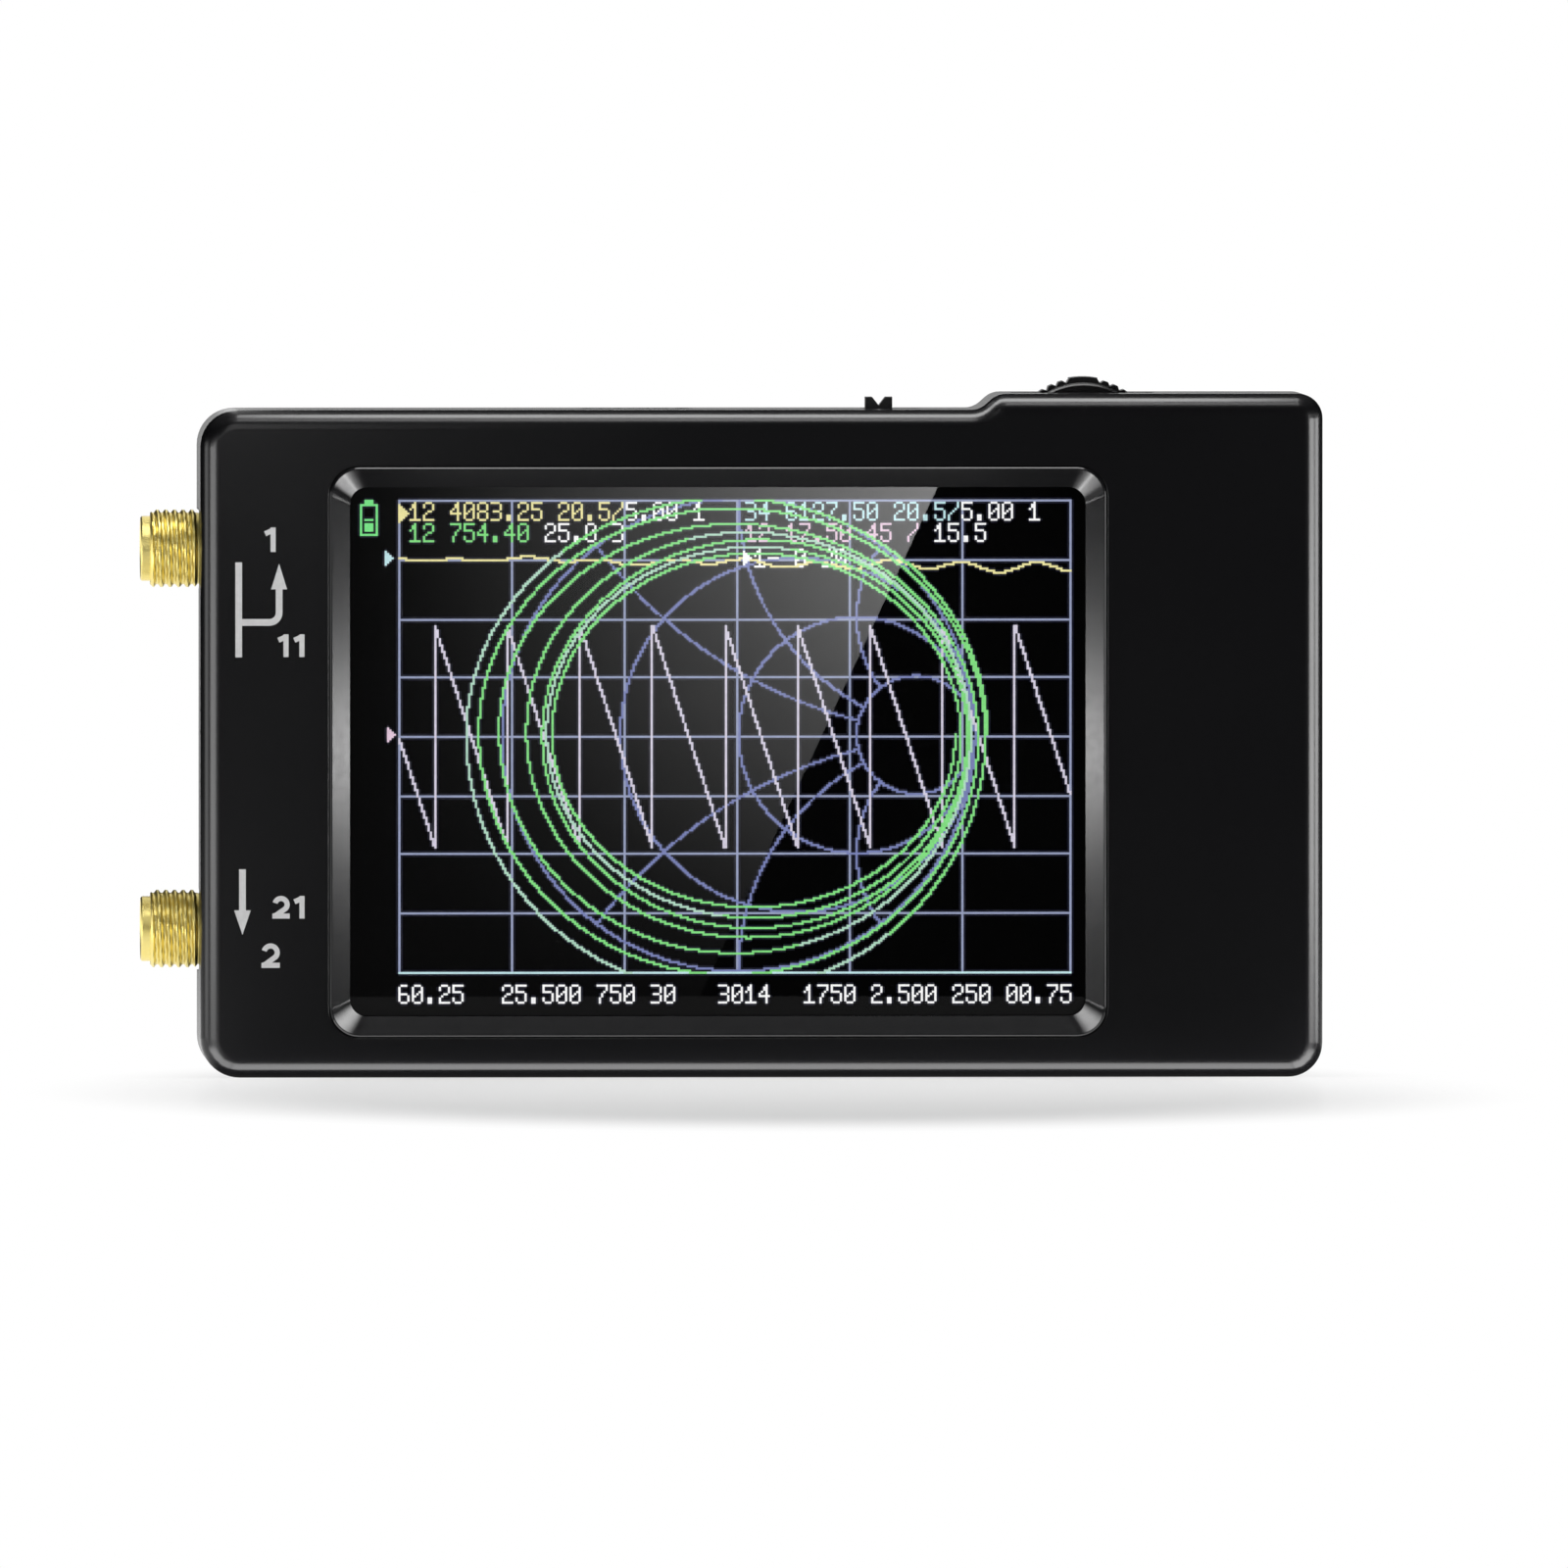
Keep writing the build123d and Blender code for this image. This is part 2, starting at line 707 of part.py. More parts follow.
with BuildPart() as screen_tray:
    with BuildSketch(depth_plane(tray_back_y)):
        with Locations((window_x, window_z)):
            Rectangle(glass_width + 2 * tray_rim, glass_height + 2 * tray_rim)
    extrude(amount=tray_back_y - lcd_front_y)
    with BuildSketch(depth_plane(guide_back_y)):
        with Locations((window_x, window_z)):
            Rectangle(glass_width + 2 * tray_clearance, glass_height + 2 * tray_clearance)
    extrude(amount=guide_back_y - lcd_front_y, mode=Mode.SUBTRACT)
    # Notch in the right rim where the ribbon leaves the screen.
    with BuildSketch(depth_plane(lcd_back_y)):
        with Locations((window_x + glass_width / 2 + tray_rim, window_z)):
            Rectangle(2 * tray_rim, ribbon_width + ribbon_socket_margin)
    extrude(amount=lcd_thickness, mode=Mode.SUBTRACT)
save(screen_tray.part, "screen_tray")

with BuildPart() as tray_pads:
    pad_x = glass_width / 2 - pad_width
    with BuildSketch(depth_plane(board_front_y)):
        with Locations((window_x - pad_x, window_z), (window_x + pad_x, window_z)):
            Rectangle(pad_width, glass_height - 2 * pad_width)
    extrude(amount=pad_thickness)
save(tray_pads.part, "tray_pads")

# ---------------------------------------------------------------- ribbon from screen to board
ribbon_start_x = window_x + glass_width / 2
ribbon_socket_x = ribbon_start_x + ribbon_run + ribbon_drop_run
ribbon_high_y = lcd_back_y - lcd_thickness / 2
ribbon_low_y = board_front_y - ribbon_lift
with BuildPart() as lcd_ribbon:
    with BuildSketch(Plane.XY.offset(window_z - ribbon_width / 2)):
        with BuildLine():
            FilletPolyline(
                (ribbon_start_x, ribbon_high_y),
                (ribbon_start_x + ribbon_run, ribbon_high_y),
                (ribbon_socket_x, ribbon_low_y),
                (ribbon_socket_x + ribbon_entry, ribbon_low_y),
                radius=ribbon_bend,
            )
        trace(line_width=ribbon_thickness)
    extrude(amount=ribbon_width)
save(lcd_ribbon.part, "lcd_ribbon")

with BuildPart() as ribbon_socket:
    with BuildSketch(depth_plane(board_front_y)):
        with Locations((ribbon_socket_x + ribbon_entry / 2, window_z)):
            Rectangle(
                ribbon_socket_length,
                ribbon_width + 2 * ribbon_socket_margin,
                align=(Align.MIN, Align.CENTER),
            )
    extrude(amount=ribbon_socket_thickness)
    # Mouth that takes the ribbon's end.
    with BuildSketch(Plane.XY.offset(window_z - ribbon_width / 2)):
        with Locations((ribbon_socket_x, ribbon_low_y)):
            Rectangle(ribbon_entry, ribbon_thickness, align=(Align.MIN, Align.CENTER))
    extrude(amount=ribbon_width, mode=Mode.SUBTRACT)
save(ribbon_socket.part, "ribbon_socket")

# ---------------------------------------------------------------- main board
with BuildPart() as main_board:
    with BuildSketch(depth_plane(board_rear_y)):
        add(case_profile(wall + board_clearance))
        with Locations(*boss_centres):
            Circle(screw_radius + board_hole_clearance, mode=Mode.SUBTRACT)
        # Edge notches in which the port flanges sit.
        with Locations(*[(left_x, z) for z in port_heights.values()]):
            Rectangle(
                flange_back_x - left_x,
                flange_size + 2 * port_hole_clearance,
                align=(Align.MIN, Align.CENTER),
                mode=Mode.SUBTRACT,
            )
    extrude(amount=board_thickness)
save(main_board.part, "main_board")

# ---------------------------------------------------------------- SMA ports
port_thread_end_x = left_x - port_neck_length
port_bore_end_x = port_tip_x + port_bore_depth
leg_offset = (flange_size - leg_size) / 2
for port, port_z in port_heights.items():
    port_axis = Axis((0, parting_y, port_z), (1, 0, 0))
    flange_plane = Plane((flange_front_x, parting_y, port_z), x_dir=(0, 1, 0), z_dir=(1, 0, 0))

    with BuildPart() as sma_body:
        # Barrel with a smooth nose, the thread's outer cylinder and a neck in the wall.
        with BuildSketch(Plane.XY.offset(port_z)):
            with BuildLine():
                Polyline(
                    (port_tip_x, parting_y + port_bore_radius),
                    (port_tip_x, parting_y + port_nose_radius),
                    (port_tip_x + port_nose_length, parting_y + port_nose_radius),
                    (port_tip_x + port_nose_length, parting_y + port_thread_radius - port_chamfer),
                    (port_tip_x + port_nose_length + port_chamfer, parting_y + port_thread_radius),
                    (port_thread_end_x, parting_y + port_thread_radius),
                    (port_thread_end_x, parting_y + port_neck_radius),
                    (flange_back_x, parting_y + port_neck_radius),
                    (flange_back_x, parting_y + insulator_radius),
                    (port_bore_end_x, parting_y + insulator_radius),
                    (port_bore_end_x, parting_y + port_bore_radius),
                    close=True,
                )
            make_face()
        revolve(axis=port_axis)
        with BuildSketch(flange_plane):
            RectangleRounded(flange_size, flange_size, flange_corner)
            Circle(insulator_radius, mode=Mode.SUBTRACT)
        extrude(amount=flange_thickness)
        # Two legs on each side of the board.
        with BuildSketch(flange_plane.offset(flange_thickness)):
            with Locations((board_rear_y, -leg_offset), (board_rear_y, leg_offset)):
                Rectangle(leg_size, leg_size, align=(Align.MIN, Align.CENTER))
            with Locations((board_front_y, -leg_offset), (board_front_y, leg_offset)):
                Rectangle(leg_size, leg_size, align=(Align.MAX, Align.CENTER))
        extrude(amount=leg_length)
    save(sma_body.part, f"sma_body_{port}")

    with BuildPart() as sma_insulator:
        with BuildSketch(flange_plane.offset(flange_thickness)):
            Circle(insulator_radius)
            Circle(contact_radius, mode=Mode.SUBTRACT)
        extrude(amount=port_bore_end_x - flange_back_x)
    save(sma_insulator.part, f"sma_insulator_{port}")

    with BuildPart() as sma_contact:
        with BuildSketch(flange_plane.offset(flange_thickness)):
            Circle(contact_radius)
        extrude(amount=port_bore_end_x - flange_back_x)
        with BuildSketch(flange_plane.offset(flange_thickness)):
            Rectangle(contact_tail_size, contact_tail_size)
        extrude(amount=contact_tail_length)
        with BuildSketch(flange_plane.offset(port_bore_end_x - flange_front_x)):
            Circle(contact_socket_radius)
        extrude(amount=contact_socket_depth, mode=Mode.SUBTRACT)
    save(sma_contact.part, f"sma_contact_{port}")

    # Screening can over the radio parts behind this port.
    with BuildPart() as rf_shield:
        with BuildSketch(depth_plane(board_rear_y)):
            with Locations((can_left_x + can_width / 2, port_z)):
                Rectangle(can_width, can_height)
        extrude(amount=-can_lift)
        with BuildSketch(depth_plane(board_rear_y)):
            with Locations((can_left_x + can_width / 2, port_z)):
                Rectangle(can_width - 2 * can_sheet, can_height - 2 * can_sheet)
        extrude(amount=can_sheet - can_lift, mode=Mode.SUBTRACT)
    save(rf_shield.part, f"rf_shield_{port}")

# ---------------------------------------------------------------- chips
with BuildPart() as radio_chips:
    with BuildSketch(depth_plane(board_rear_y)):
        with Locations(*[(can_left_x + can_width / 2, z) for z in port_heights.values()]):
            Rectangle(radio_chip_size, radio_chip_size)
    extrude(amount=-radio_chip_thickness)
save(radio_chips.part, "radio_chips")

with BuildPart() as processor_chip:
    with BuildSketch(depth_plane(board_rear_y)):
        with Locations((cell_x, cell_z)):
            Rectangle(chip_size, chip_size)
    extrude(amount=-chip_thickness)
save(processor_chip.part, "processor_chip")

with BuildPart() as crystal_can:
    with BuildSketch(depth_plane(board_rear_y)):
        with Locations((cell_x - chip_size / 2 - crystal_gap - crystal_width / 2, cell_z)):
            RectangleRounded(crystal_width, crystal_length, crystal_corner)
    extrude(amount=-crystal_thickness)
save(crystal_can.part, "crystal_can")

# ---------------------------------------------------------------- cell
with BuildPart() as battery_cell:
    with BuildSketch(depth_plane(cell_back_y)):
        with Locations((cell_x, cell_z)):
            Rectangle(cell_width, cell_height)
    extrude(amount=cell_thickness)
    fillet(battery_cell.edges().filter_by(Axis.X), radius=cell_edge_radius)
save(battery_cell.part, "battery_cell")

with BuildPart() as battery_tape:
    with BuildSketch(depth_plane(back_inner_y)):
        with Locations((cell_x, cell_z)):
            Rectangle(cell_tape_width, cell_tape_height)
    extrude(amount=cell_tape_thickness)
save(battery_tape.part, "battery_tape")

# Two short leads from the cell's end to the plug, close to the face towards the board.
lead_heights = {
    "red": plug_z + lead_pitch / 2,
    "black": plug_z - lead_pitch / 2,
}
for colour, lead_z in lead_heights.items():
    with BuildPart() as battery_lead:
        with BuildSketch(Plane((cell_right_x, plug_y, lead_z), z_dir=(1, 0, 0))):
            Circle(lead_radius)
        extrude(amount=lead_length)
    save(battery_lead.part, f"battery_lead_{colour}")

with BuildPart() as battery_plug:
    with BuildSketch(Plane((plug_left_x, plug_y, plug_z), x_dir=(0, 1, 0), z_dir=(1, 0, 0))):
        Rectangle(plug_height, plug_width)
    extrude(amount=plug_length)
save(battery_plug.part, "battery_plug")

# Open-ended socket that holds the plug.
with BuildPart() as battery_socket:
    socket_left_x = plug_left_x + plug_length - battery_socket_overlap
    with BuildSketch(Plane((socket_left_x, board_rear_y, plug_z), x_dir=(0, 1, 0), z_dir=(1, 0, 0))):
        Rectangle(
            plug_y + plug_height / 2 + battery_socket_wall - board_rear_y,
            plug_width + 2 * battery_socket_wall,
            align=(Align.MIN, Align.CENTER),
        )
    extrude(amount=battery_socket_overlap + battery_socket_wall)
    with BuildSketch(Plane((socket_left_x, plug_y, plug_z), x_dir=(0, 1, 0), z_dir=(1, 0, 0))):
        Rectangle(plug_height, plug_width)
    extrude(amount=battery_socket_overlap, mode=Mode.SUBTRACT)
save(battery_socket.part, "battery_socket")

# ---------------------------------------------------------------- USB-C socket
usb_top_z = case_height - usb_below_top
usb_bottom_z = usb_top_z - usb_length
with BuildPart() as usb_shell:
    with BuildSketch(Plane.XY.offset(usb_bottom_z)):
        with Locations((usb_x, usb_y)):
            SlotOverall(usb_width, usb_height)
            SlotOverall(usb_width - 2 * usb_sheet, usb_height - 2 * usb_sheet, mode=Mode.SUBTRACT)
    extrude(amount=usb_length)
save(usb_shell.part, "usb_shell")

with BuildPart() as usb_tongue:
    with BuildSketch(Plane.XY.offset(usb_bottom_z)):
        with Locations((usb_x, usb_y)):
            SlotOverall(usb_width - 2 * usb_sheet, usb_height - 2 * usb_sheet)
    extrude(amount=usb_base_length)
    with BuildSketch(Plane.XY.offset(usb_bottom_z + usb_base_length)):
        with Locations((usb_x, usb_y)):
            Rectangle(usb_tongue_width, usb_tongue_thickness)
    extrude(amount=usb_tongue_length)
save(usb_tongue.part, "usb_tongue")

# ---------------------------------------------------------------- memory card socket
card_mouth_x = right_x - wall - board_clearance
with BuildPart() as card_socket:
    with BuildSketch(Plane((card_mouth_x, board_rear_y, card_z), x_dir=(0, 1, 0), z_dir=(1, 0, 0))):
        Rectangle(card_thickness, card_width, align=(Align.MIN, Align.CENTER))
    extrude(amount=-card_length)
    with BuildSketch(Plane((card_mouth_x, card_slot_y, card_z), x_dir=(0, 1, 0), z_dir=(1, 0, 0))):
        Rectangle(card_slot_thickness, card_slot_width)
    extrude(amount=card_sheet - card_length, mode=Mode.SUBTRACT)
save(card_socket.part, "card_socket")

# ---------------------------------------------------------------- power switch
switch_top_z = case_height - wall - switch_ceiling_gap
switch_bottom_z = switch_top_z - switch_height
foot_top_z = switch_top_z - switch_cover - switch_play
foot_bottom_z = foot_top_z - knob_foot_height
knob_top_z = case_height + knob_proud
with BuildPart() as power_switch_body:
    with BuildSketch(Plane.XY.offset(switch_bottom_z)):
        with Locations((knob_middle_x, knob_y)):
            Rectangle(switch_width, switch_depth)
    extrude(amount=switch_height)
    # Chamber for the knob's foot, then the slot for its stem.
    with BuildSketch(Plane.XY.offset(foot_bottom_z - switch_play)):
        with Locations((knob_middle_x, knob_y)):
            Rectangle(
                knob_foot_width + knob_travel + 2 * switch_play, knob_foot_depth + 2 * switch_play
            )
    extrude(amount=knob_foot_height + 2 * switch_play, mode=Mode.SUBTRACT)
    with BuildSketch(Plane.XY.offset(foot_top_z)):
        with Locations((knob_middle_x, knob_y)):
            Rectangle(knob_width + knob_travel + 2 * switch_play, knob_depth + 2 * switch_play)
    extrude(amount=switch_cover + 2 * switch_play, mode=Mode.SUBTRACT)
save(power_switch_body.part, "power_switch_body")

with BuildPart() as power_knob:
    with BuildSketch(Plane.XY.offset(foot_bottom_z)):
        with Locations((knob_x, knob_y)):
            Rectangle(knob_foot_width, knob_foot_depth)
    extrude(amount=knob_foot_height)
    # Stem with a V notch across its tip.
    with BuildSketch(depth_plane(knob_y + knob_depth / 2)):
        with BuildLine():
            Polyline(
                (knob_x - knob_width / 2, foot_top_z),
                (knob_x + knob_width / 2, foot_top_z),
                (knob_x + knob_width / 2, knob_top_z),
                (knob_x + knob_notch_width / 2, knob_top_z),
                (knob_x, knob_top_z - knob_notch_depth),
                (knob_x - knob_notch_width / 2, knob_top_z),
                (knob_x - knob_width / 2, knob_top_z),
                close=True,
            )
        make_face()
    extrude(amount=knob_depth)
save(power_knob.part, "power_knob")

# ---------------------------------------------------------------- thumb wheel mechanism
jog_body_front_y = board_rear_y
jog_pocket_front_y = wheel_front_y - plunger_play
jog_pocket_back_y = wheel_back_y + plunger_play
jog_body_back_y = jog_pocket_back_y + jog_body_wall
shoulder_half_width = plunger_half_width + plunger_shoulder_width
shoulder_top_z = plunger_bottom_z + plunger_shoulder_height
with BuildPart() as jog_switch_body:
    with BuildSketch(depth_plane(jog_body_back_y)):
        with Locations((wheel_x, jog_body_bottom_z)):
            Rectangle(
                2 * jog_body_half_width,
                jog_body_top_z - jog_body_bottom_z,
                align=(Align.CENTER, Align.MIN),
            )
    extrude(amount=jog_body_back_y - jog_body_front_y)
    # Pocket with a shoulder that keeps the plunger in.
    with BuildSketch(depth_plane(jog_pocket_back_y)):
        with Locations((wheel_x, jog_floor_z)):
            Rectangle(
                2 * (shoulder_half_width + plunger_play),
                shoulder_top_z + plunger_play - jog_floor_z,
                align=(Align.CENTER, Align.MIN),
            )
            Rectangle(
                2 * (plunger_half_width + plunger_play),
                jog_body_top_z - jog_floor_z,
                align=(Align.CENTER, Align.MIN),
            )
    extrude(amount=jog_pocket_back_y - jog_pocket_front_y, mode=Mode.SUBTRACT)
save(jog_switch_body.part, "jog_switch_body")

# Snap dome under the plunger: a shallow sheet cone with a small hole at its top.
dome_top_z = plunger_bottom_z - dome_play
with BuildPart() as jog_dome:
    with BuildSketch(Plane((wheel_x, wheel_middle_y, 0), x_dir=(1, 0, 0), z_dir=(0, -1, 0))):
        with BuildLine():
            Polyline(
                (dome_radius, jog_floor_z),
                (dome_hole_radius, dome_top_z),
                (dome_hole_radius, dome_top_z - dome_sheet),
                (dome_radius - dome_sheet, jog_floor_z),
                close=True,
            )
        make_face()
    revolve(axis=Axis((wheel_x, wheel_middle_y, 0), (0, 0, 1)))
save(jog_dome.part, "jog_dome")

with BuildPart() as jog_plunger:
    with BuildSketch(depth_plane(wheel_back_y)):
        with Locations((wheel_x, plunger_bottom_z)):
            Rectangle(
                2 * shoulder_half_width,
                plunger_shoulder_height,
                align=(Align.CENTER, Align.MIN),
            )
            Rectangle(2 * plunger_half_width, plunger_height, align=(Align.CENTER, Align.MIN))
            Rectangle(2 * ear_radius, wheel_z - plunger_bottom_z, align=(Align.CENTER, Align.MIN))
        with Locations((wheel_x, wheel_z)):
            Circle(ear_radius)
            Circle(pin_radius, mode=Mode.SUBTRACT)
    extrude(amount=wheel_thickness)
    # Slot between the two ears for the wheel's hub.
    with BuildSketch(depth_plane(wheel_middle_y + hub_thickness / 2 + hub_gap)):
        with Locations((wheel_x, wheel_z - hub_radius - plunger_slot_gap)):
            Rectangle(
                2 * shoulder_half_width,
                hub_radius + plunger_slot_gap + ear_radius + through,
                align=(Align.CENTER, Align.MIN),
            )
    extrude(amount=hub_thickness + 2 * hub_gap, mode=Mode.SUBTRACT)
save(jog_plunger.part, "jog_plunger")

with BuildPart() as jog_pin:
    with BuildSketch(depth_plane(wheel_back_y)):
        with Locations((wheel_x, wheel_z)):
            Circle(pin_radius)
    extrude(amount=wheel_thickness)
save(jog_pin.part, "jog_pin")


def fan(inner_radius, outer_radius, half_angle):
    """Ring sector about the wheel's axle, half_angle to both sides of the top."""
    start_angle = 90 - half_angle
    centre = (wheel_x, wheel_z)
    with BuildSketch() as sector:
        with BuildLine():
            outer = CenterArc(centre, outer_radius, start_angle, 2 * half_angle)
            inner = CenterArc(centre, inner_radius, start_angle, 2 * half_angle)
            Line(outer @ 0, inner @ 0)
            Line(outer @ 1, inner @ 1)
        make_face()
    return sector.sketch


# Groove angles on both sides of the wide land, which stands above the ridges of the rim.
ridge_radius = wheel_radius - ridge_drop
land_half_angle = math.degrees(wheel_land_width / 2 / wheel_radius)
first_groove_angle = math.degrees((wheel_land_width / 2 + groove_from_land) / wheel_radius)
pitch_angle = math.degrees(groove_pitch / wheel_radius)
groove_count = int((wheel_half_angle - first_groove_angle) / pitch_angle) + 1
groove_angles = [first_groove_angle + step * pitch_angle for step in range(groove_count)]
with BuildPart() as jog_wheel:
    # Rim with V grooves across it.
    with BuildSketch(depth_plane(wheel_back_y)):
        add(fan(wheel_root_radius, ridge_radius, wheel_half_angle))
        add(fan(wheel_root_radius, wheel_radius, land_half_angle))
        for side in (-1, 1):
            for angle in groove_angles:
                turn = side * angle
                groove_x = wheel_x + ridge_radius * math.sin(math.radians(turn))
                groove_z = wheel_z + ridge_radius * math.cos(math.radians(turn))
                with Locations(Location((groove_x, groove_z), 45 - turn)):
                    Rectangle(
                        math.sqrt(2) * groove_depth,
                        math.sqrt(2) * groove_depth,
                        mode=Mode.SUBTRACT,
                    )
    extrude(amount=wheel_thickness - wheel_flange_thickness)
    # Smooth flange at the front of the rim.
    with BuildSketch(depth_plane(wheel_front_y + wheel_flange_thickness)):
        add(fan(wheel_root_radius, wheel_flange_radius, wheel_half_angle))
    extrude(amount=wheel_flange_thickness)
    flange_face = jog_wheel.faces().sort_by(Axis.Y)[0]
    flange_rim = flange_face.edges().sort_by(SortBy.LENGTH)[-1]
    chamfer(flange_rim, length=wheel_flange_chamfer)
    # Thin hub between the plunger's ears.
    with BuildSketch(depth_plane(wheel_middle_y + hub_thickness / 2)):
        add(fan(hub_radius / 2, wheel_root_radius + hub_gap, wheel_half_angle))
        with Locations((wheel_x, wheel_z)):
            Circle(hub_radius)
            Circle(pin_radius + pin_clearance, mode=Mode.SUBTRACT)
    extrude(amount=hub_thickness)
save(jog_wheel.part, "jog_wheel")
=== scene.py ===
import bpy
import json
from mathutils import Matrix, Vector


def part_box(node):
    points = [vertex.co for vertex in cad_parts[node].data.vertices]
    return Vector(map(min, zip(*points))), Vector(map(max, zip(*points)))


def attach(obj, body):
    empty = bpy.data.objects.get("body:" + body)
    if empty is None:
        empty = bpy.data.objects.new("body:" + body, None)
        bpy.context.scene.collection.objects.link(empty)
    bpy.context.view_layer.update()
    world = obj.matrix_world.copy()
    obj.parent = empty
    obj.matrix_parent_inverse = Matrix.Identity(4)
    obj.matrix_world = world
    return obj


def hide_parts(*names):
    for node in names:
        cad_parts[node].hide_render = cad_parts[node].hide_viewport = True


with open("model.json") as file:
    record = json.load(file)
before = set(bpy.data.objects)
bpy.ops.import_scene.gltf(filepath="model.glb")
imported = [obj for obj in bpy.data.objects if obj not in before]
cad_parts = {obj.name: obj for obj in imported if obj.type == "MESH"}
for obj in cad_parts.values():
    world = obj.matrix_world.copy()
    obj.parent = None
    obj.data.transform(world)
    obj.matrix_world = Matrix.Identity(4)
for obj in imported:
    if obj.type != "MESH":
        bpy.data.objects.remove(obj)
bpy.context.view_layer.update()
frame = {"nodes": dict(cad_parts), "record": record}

import json
import math
from functools import cache

import bmesh
import bpy
import numpy as np
from mathutils import Matrix, Vector

# Looks of a handheld antenna analyzer: finishes for every part, threaded port barrels, the
# lit display, the printed marks, and a small studio. Lengths are metres in the part's own
# frame: +Z up, the display faces -Y, the ports point to -X. MM turns millimetres to metres.

bl_info = {
    "name": "Antenna analyzer looks",
    "version": (1, 0, 0),
    "blender": (4, 5, 0),
    "location": "3D View > Sidebar > Analyzer",
    "description": "Finishes, port threads, display, printed marks and studio for the part",
    "category": "Object",
}

MM = 0.001

CASE_LOW, CASE_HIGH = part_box("front_cover")
BEZEL_LOW, BEZEL_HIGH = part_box("screen_bezel")
GLASS_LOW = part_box("touch_panel")[0]
SCREEN_LOW, SCREEN_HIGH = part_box("lcd_panel")
FRONT_Y = CASE_LOW.y
PORT_NAMES = ("1", "2")


# ------------------------------------------------------------------ colours and nodes
def linear(hex_colour):
    """Linear RGBA of an sRGB hex colour, by the sRGB curve."""
    values = [int(hex_colour[i : i + 2], 16) / 255 for i in (1, 3, 5)]
    return [v / 12.92 if v <= 0.04045 else ((v + 0.055) / 1.055) ** 2.4 for v in values] + [1.0]


WHITE_LIGHT = linear("#ffffff")
METAL, WAXY = {"Metallic": 1.0}, {"Subsurface_Weight": 0.2}


def per_mm(size_mm):
    """Texture scale at which one feature of a pattern is size_mm wide."""
    return 1 / (size_mm * MM)


def fill(node, sockets):
    """Fill a node's sockets: each takes a value, a link from another node's output, or a link
    from a node, which stands for its first output."""
    for key, value in sockets.items():
        if isinstance(value, bpy.types.Node):
            value = value.outputs[0]
        if isinstance(value, bpy.types.NodeSocket):
            node.id_data.links.new(value, node.inputs[key])
        else:
            node.inputs[key].default_value = value


def add_node(tree, kind, sockets=None, **settings):
    """Add a shader node with its settings and fill its sockets."""
    node = tree.nodes.new(f"ShaderNode{kind}")
    for key, value in settings.items():
        setattr(node, key, value)
    fill(node, sockets or {})
    return node


def empty_tree(owner):
    """The cleared node tree of a material, a world or a lamp."""
    owner.use_nodes = True
    owner.node_tree.nodes.clear()
    return owner.node_tree


def new_material(name, colour, roughness, **sockets):
    """A material with one Principled shader; returns it with its shader and place."""
    material = bpy.data.materials.new(name)
    tree = empty_tree(material)
    shader = add_node(tree, "BsdfPrincipled", {"Base Color": linear(colour)})
    sockets = {key.replace("_", " "): value for key, value in sockets.items()}
    fill(shader, {"Roughness": roughness, **sockets})
    add_node(tree, "OutputMaterial", {"Surface": shader})
    place = add_node(tree, "TexCoord").outputs["Object"]
    return material, shader, place


def wander(shader, socket, place, patch_mm, detail, low, high, start=0.0):
    """Let one socket of a shader wander between two levels in soft patches; returns the
    noise that makes them."""
    tree = shader.id_data
    noise = {"Vector": place, "Scale": per_mm(patch_mm), "Detail": detail}
    patch = add_node(tree, "TexNoise", noise)
    levels = {"Value": patch, "From Min": start, "To Min": low, "To Max": high}
    fill(shader, {socket: add_node(tree, "MapRange", levels)})
    return patch


def tint(shader, share, colour, second_colour):
    """Mix a shader's colour from two by the given share."""
    # Mix has one A and one B per data type: 6 and 7 are the colour pair, 2 is its result.
    sockets = {"Factor": share, 6: linear(colour), 7: linear(second_colour)}
    mix = add_node(shader.id_data, "Mix", sockets, data_type="RGBA")
    fill(shader, {"Base Color": mix.outputs[2]})


def emboss(shader, height, strength, depth_mm, **sockets):
    """Give a shader a relief of the given height pattern, strength and depth."""
    relief = {"Height": height, "Strength": strength, "Distance": depth_mm * MM, **sockets}
    fill(shader, {"Normal": add_node(shader.id_data, "Bump", relief)})


# ------------------------------------------------------------------ finishes
def satin_moulded_abs(name, colour, roughness, grain_mm):
    """Black ABS from a spark-eroded mould: a fine even grain that breaks up the highlights."""
    material, shader, place = new_material(name, colour, roughness, IOR=1.53)
    tree = material.node_tree
    grain = add_node(tree, "TexNoise", {"Vector": place, "Scale": per_mm(grain_mm), "Detail": 3.0})
    # Slow flow marks of the mould change the gloss a little over centimetres.
    wander(shader, "Roughness", place, 18, 2.0, roughness * 0.9, roughness * 1.12)
    # No moulded edge is knife sharp: a radius of 0.12 mm catches a thin line of light.
    edge = add_node(tree, "Bevel", {"Radius": 0.12 * MM}, samples=6)
    emboss(shader, grain, 0.08, 0.02, Normal=edge)
    return material


def gloss_moulded_pc(name, colour):
    """Polycarbonate from a polished mould: mirror-like, with a faint orange peel and dust."""
    material, shader, place = new_material(name, colour, 0.14, IOR=1.58, Specular_IOR_Level=0.24)
    tree = material.node_tree
    peel = add_node(tree, "TexNoise", {"Vector": place, "Scale": per_mm(2.5), "Detail": 1.0})
    emboss(shader, peel, 0.03, 0.05)
    wander(shader, "Roughness", place, 0.6, 4.0, 0.14, 0.18, start=0.4)
    return material


def touch_glass(name):
    """Clear float glass of the touch panel, with a trace of grease that softens its gloss."""
    clear = {"IOR": 1.5, "Transmission_Weight": 1.0}
    material, shader, place = new_material(name, "#ffffff", 0.0, **clear)
    wander(shader, "Roughness", place, 9, 3.0, 0.0, 0.012, start=0.45)
    return material


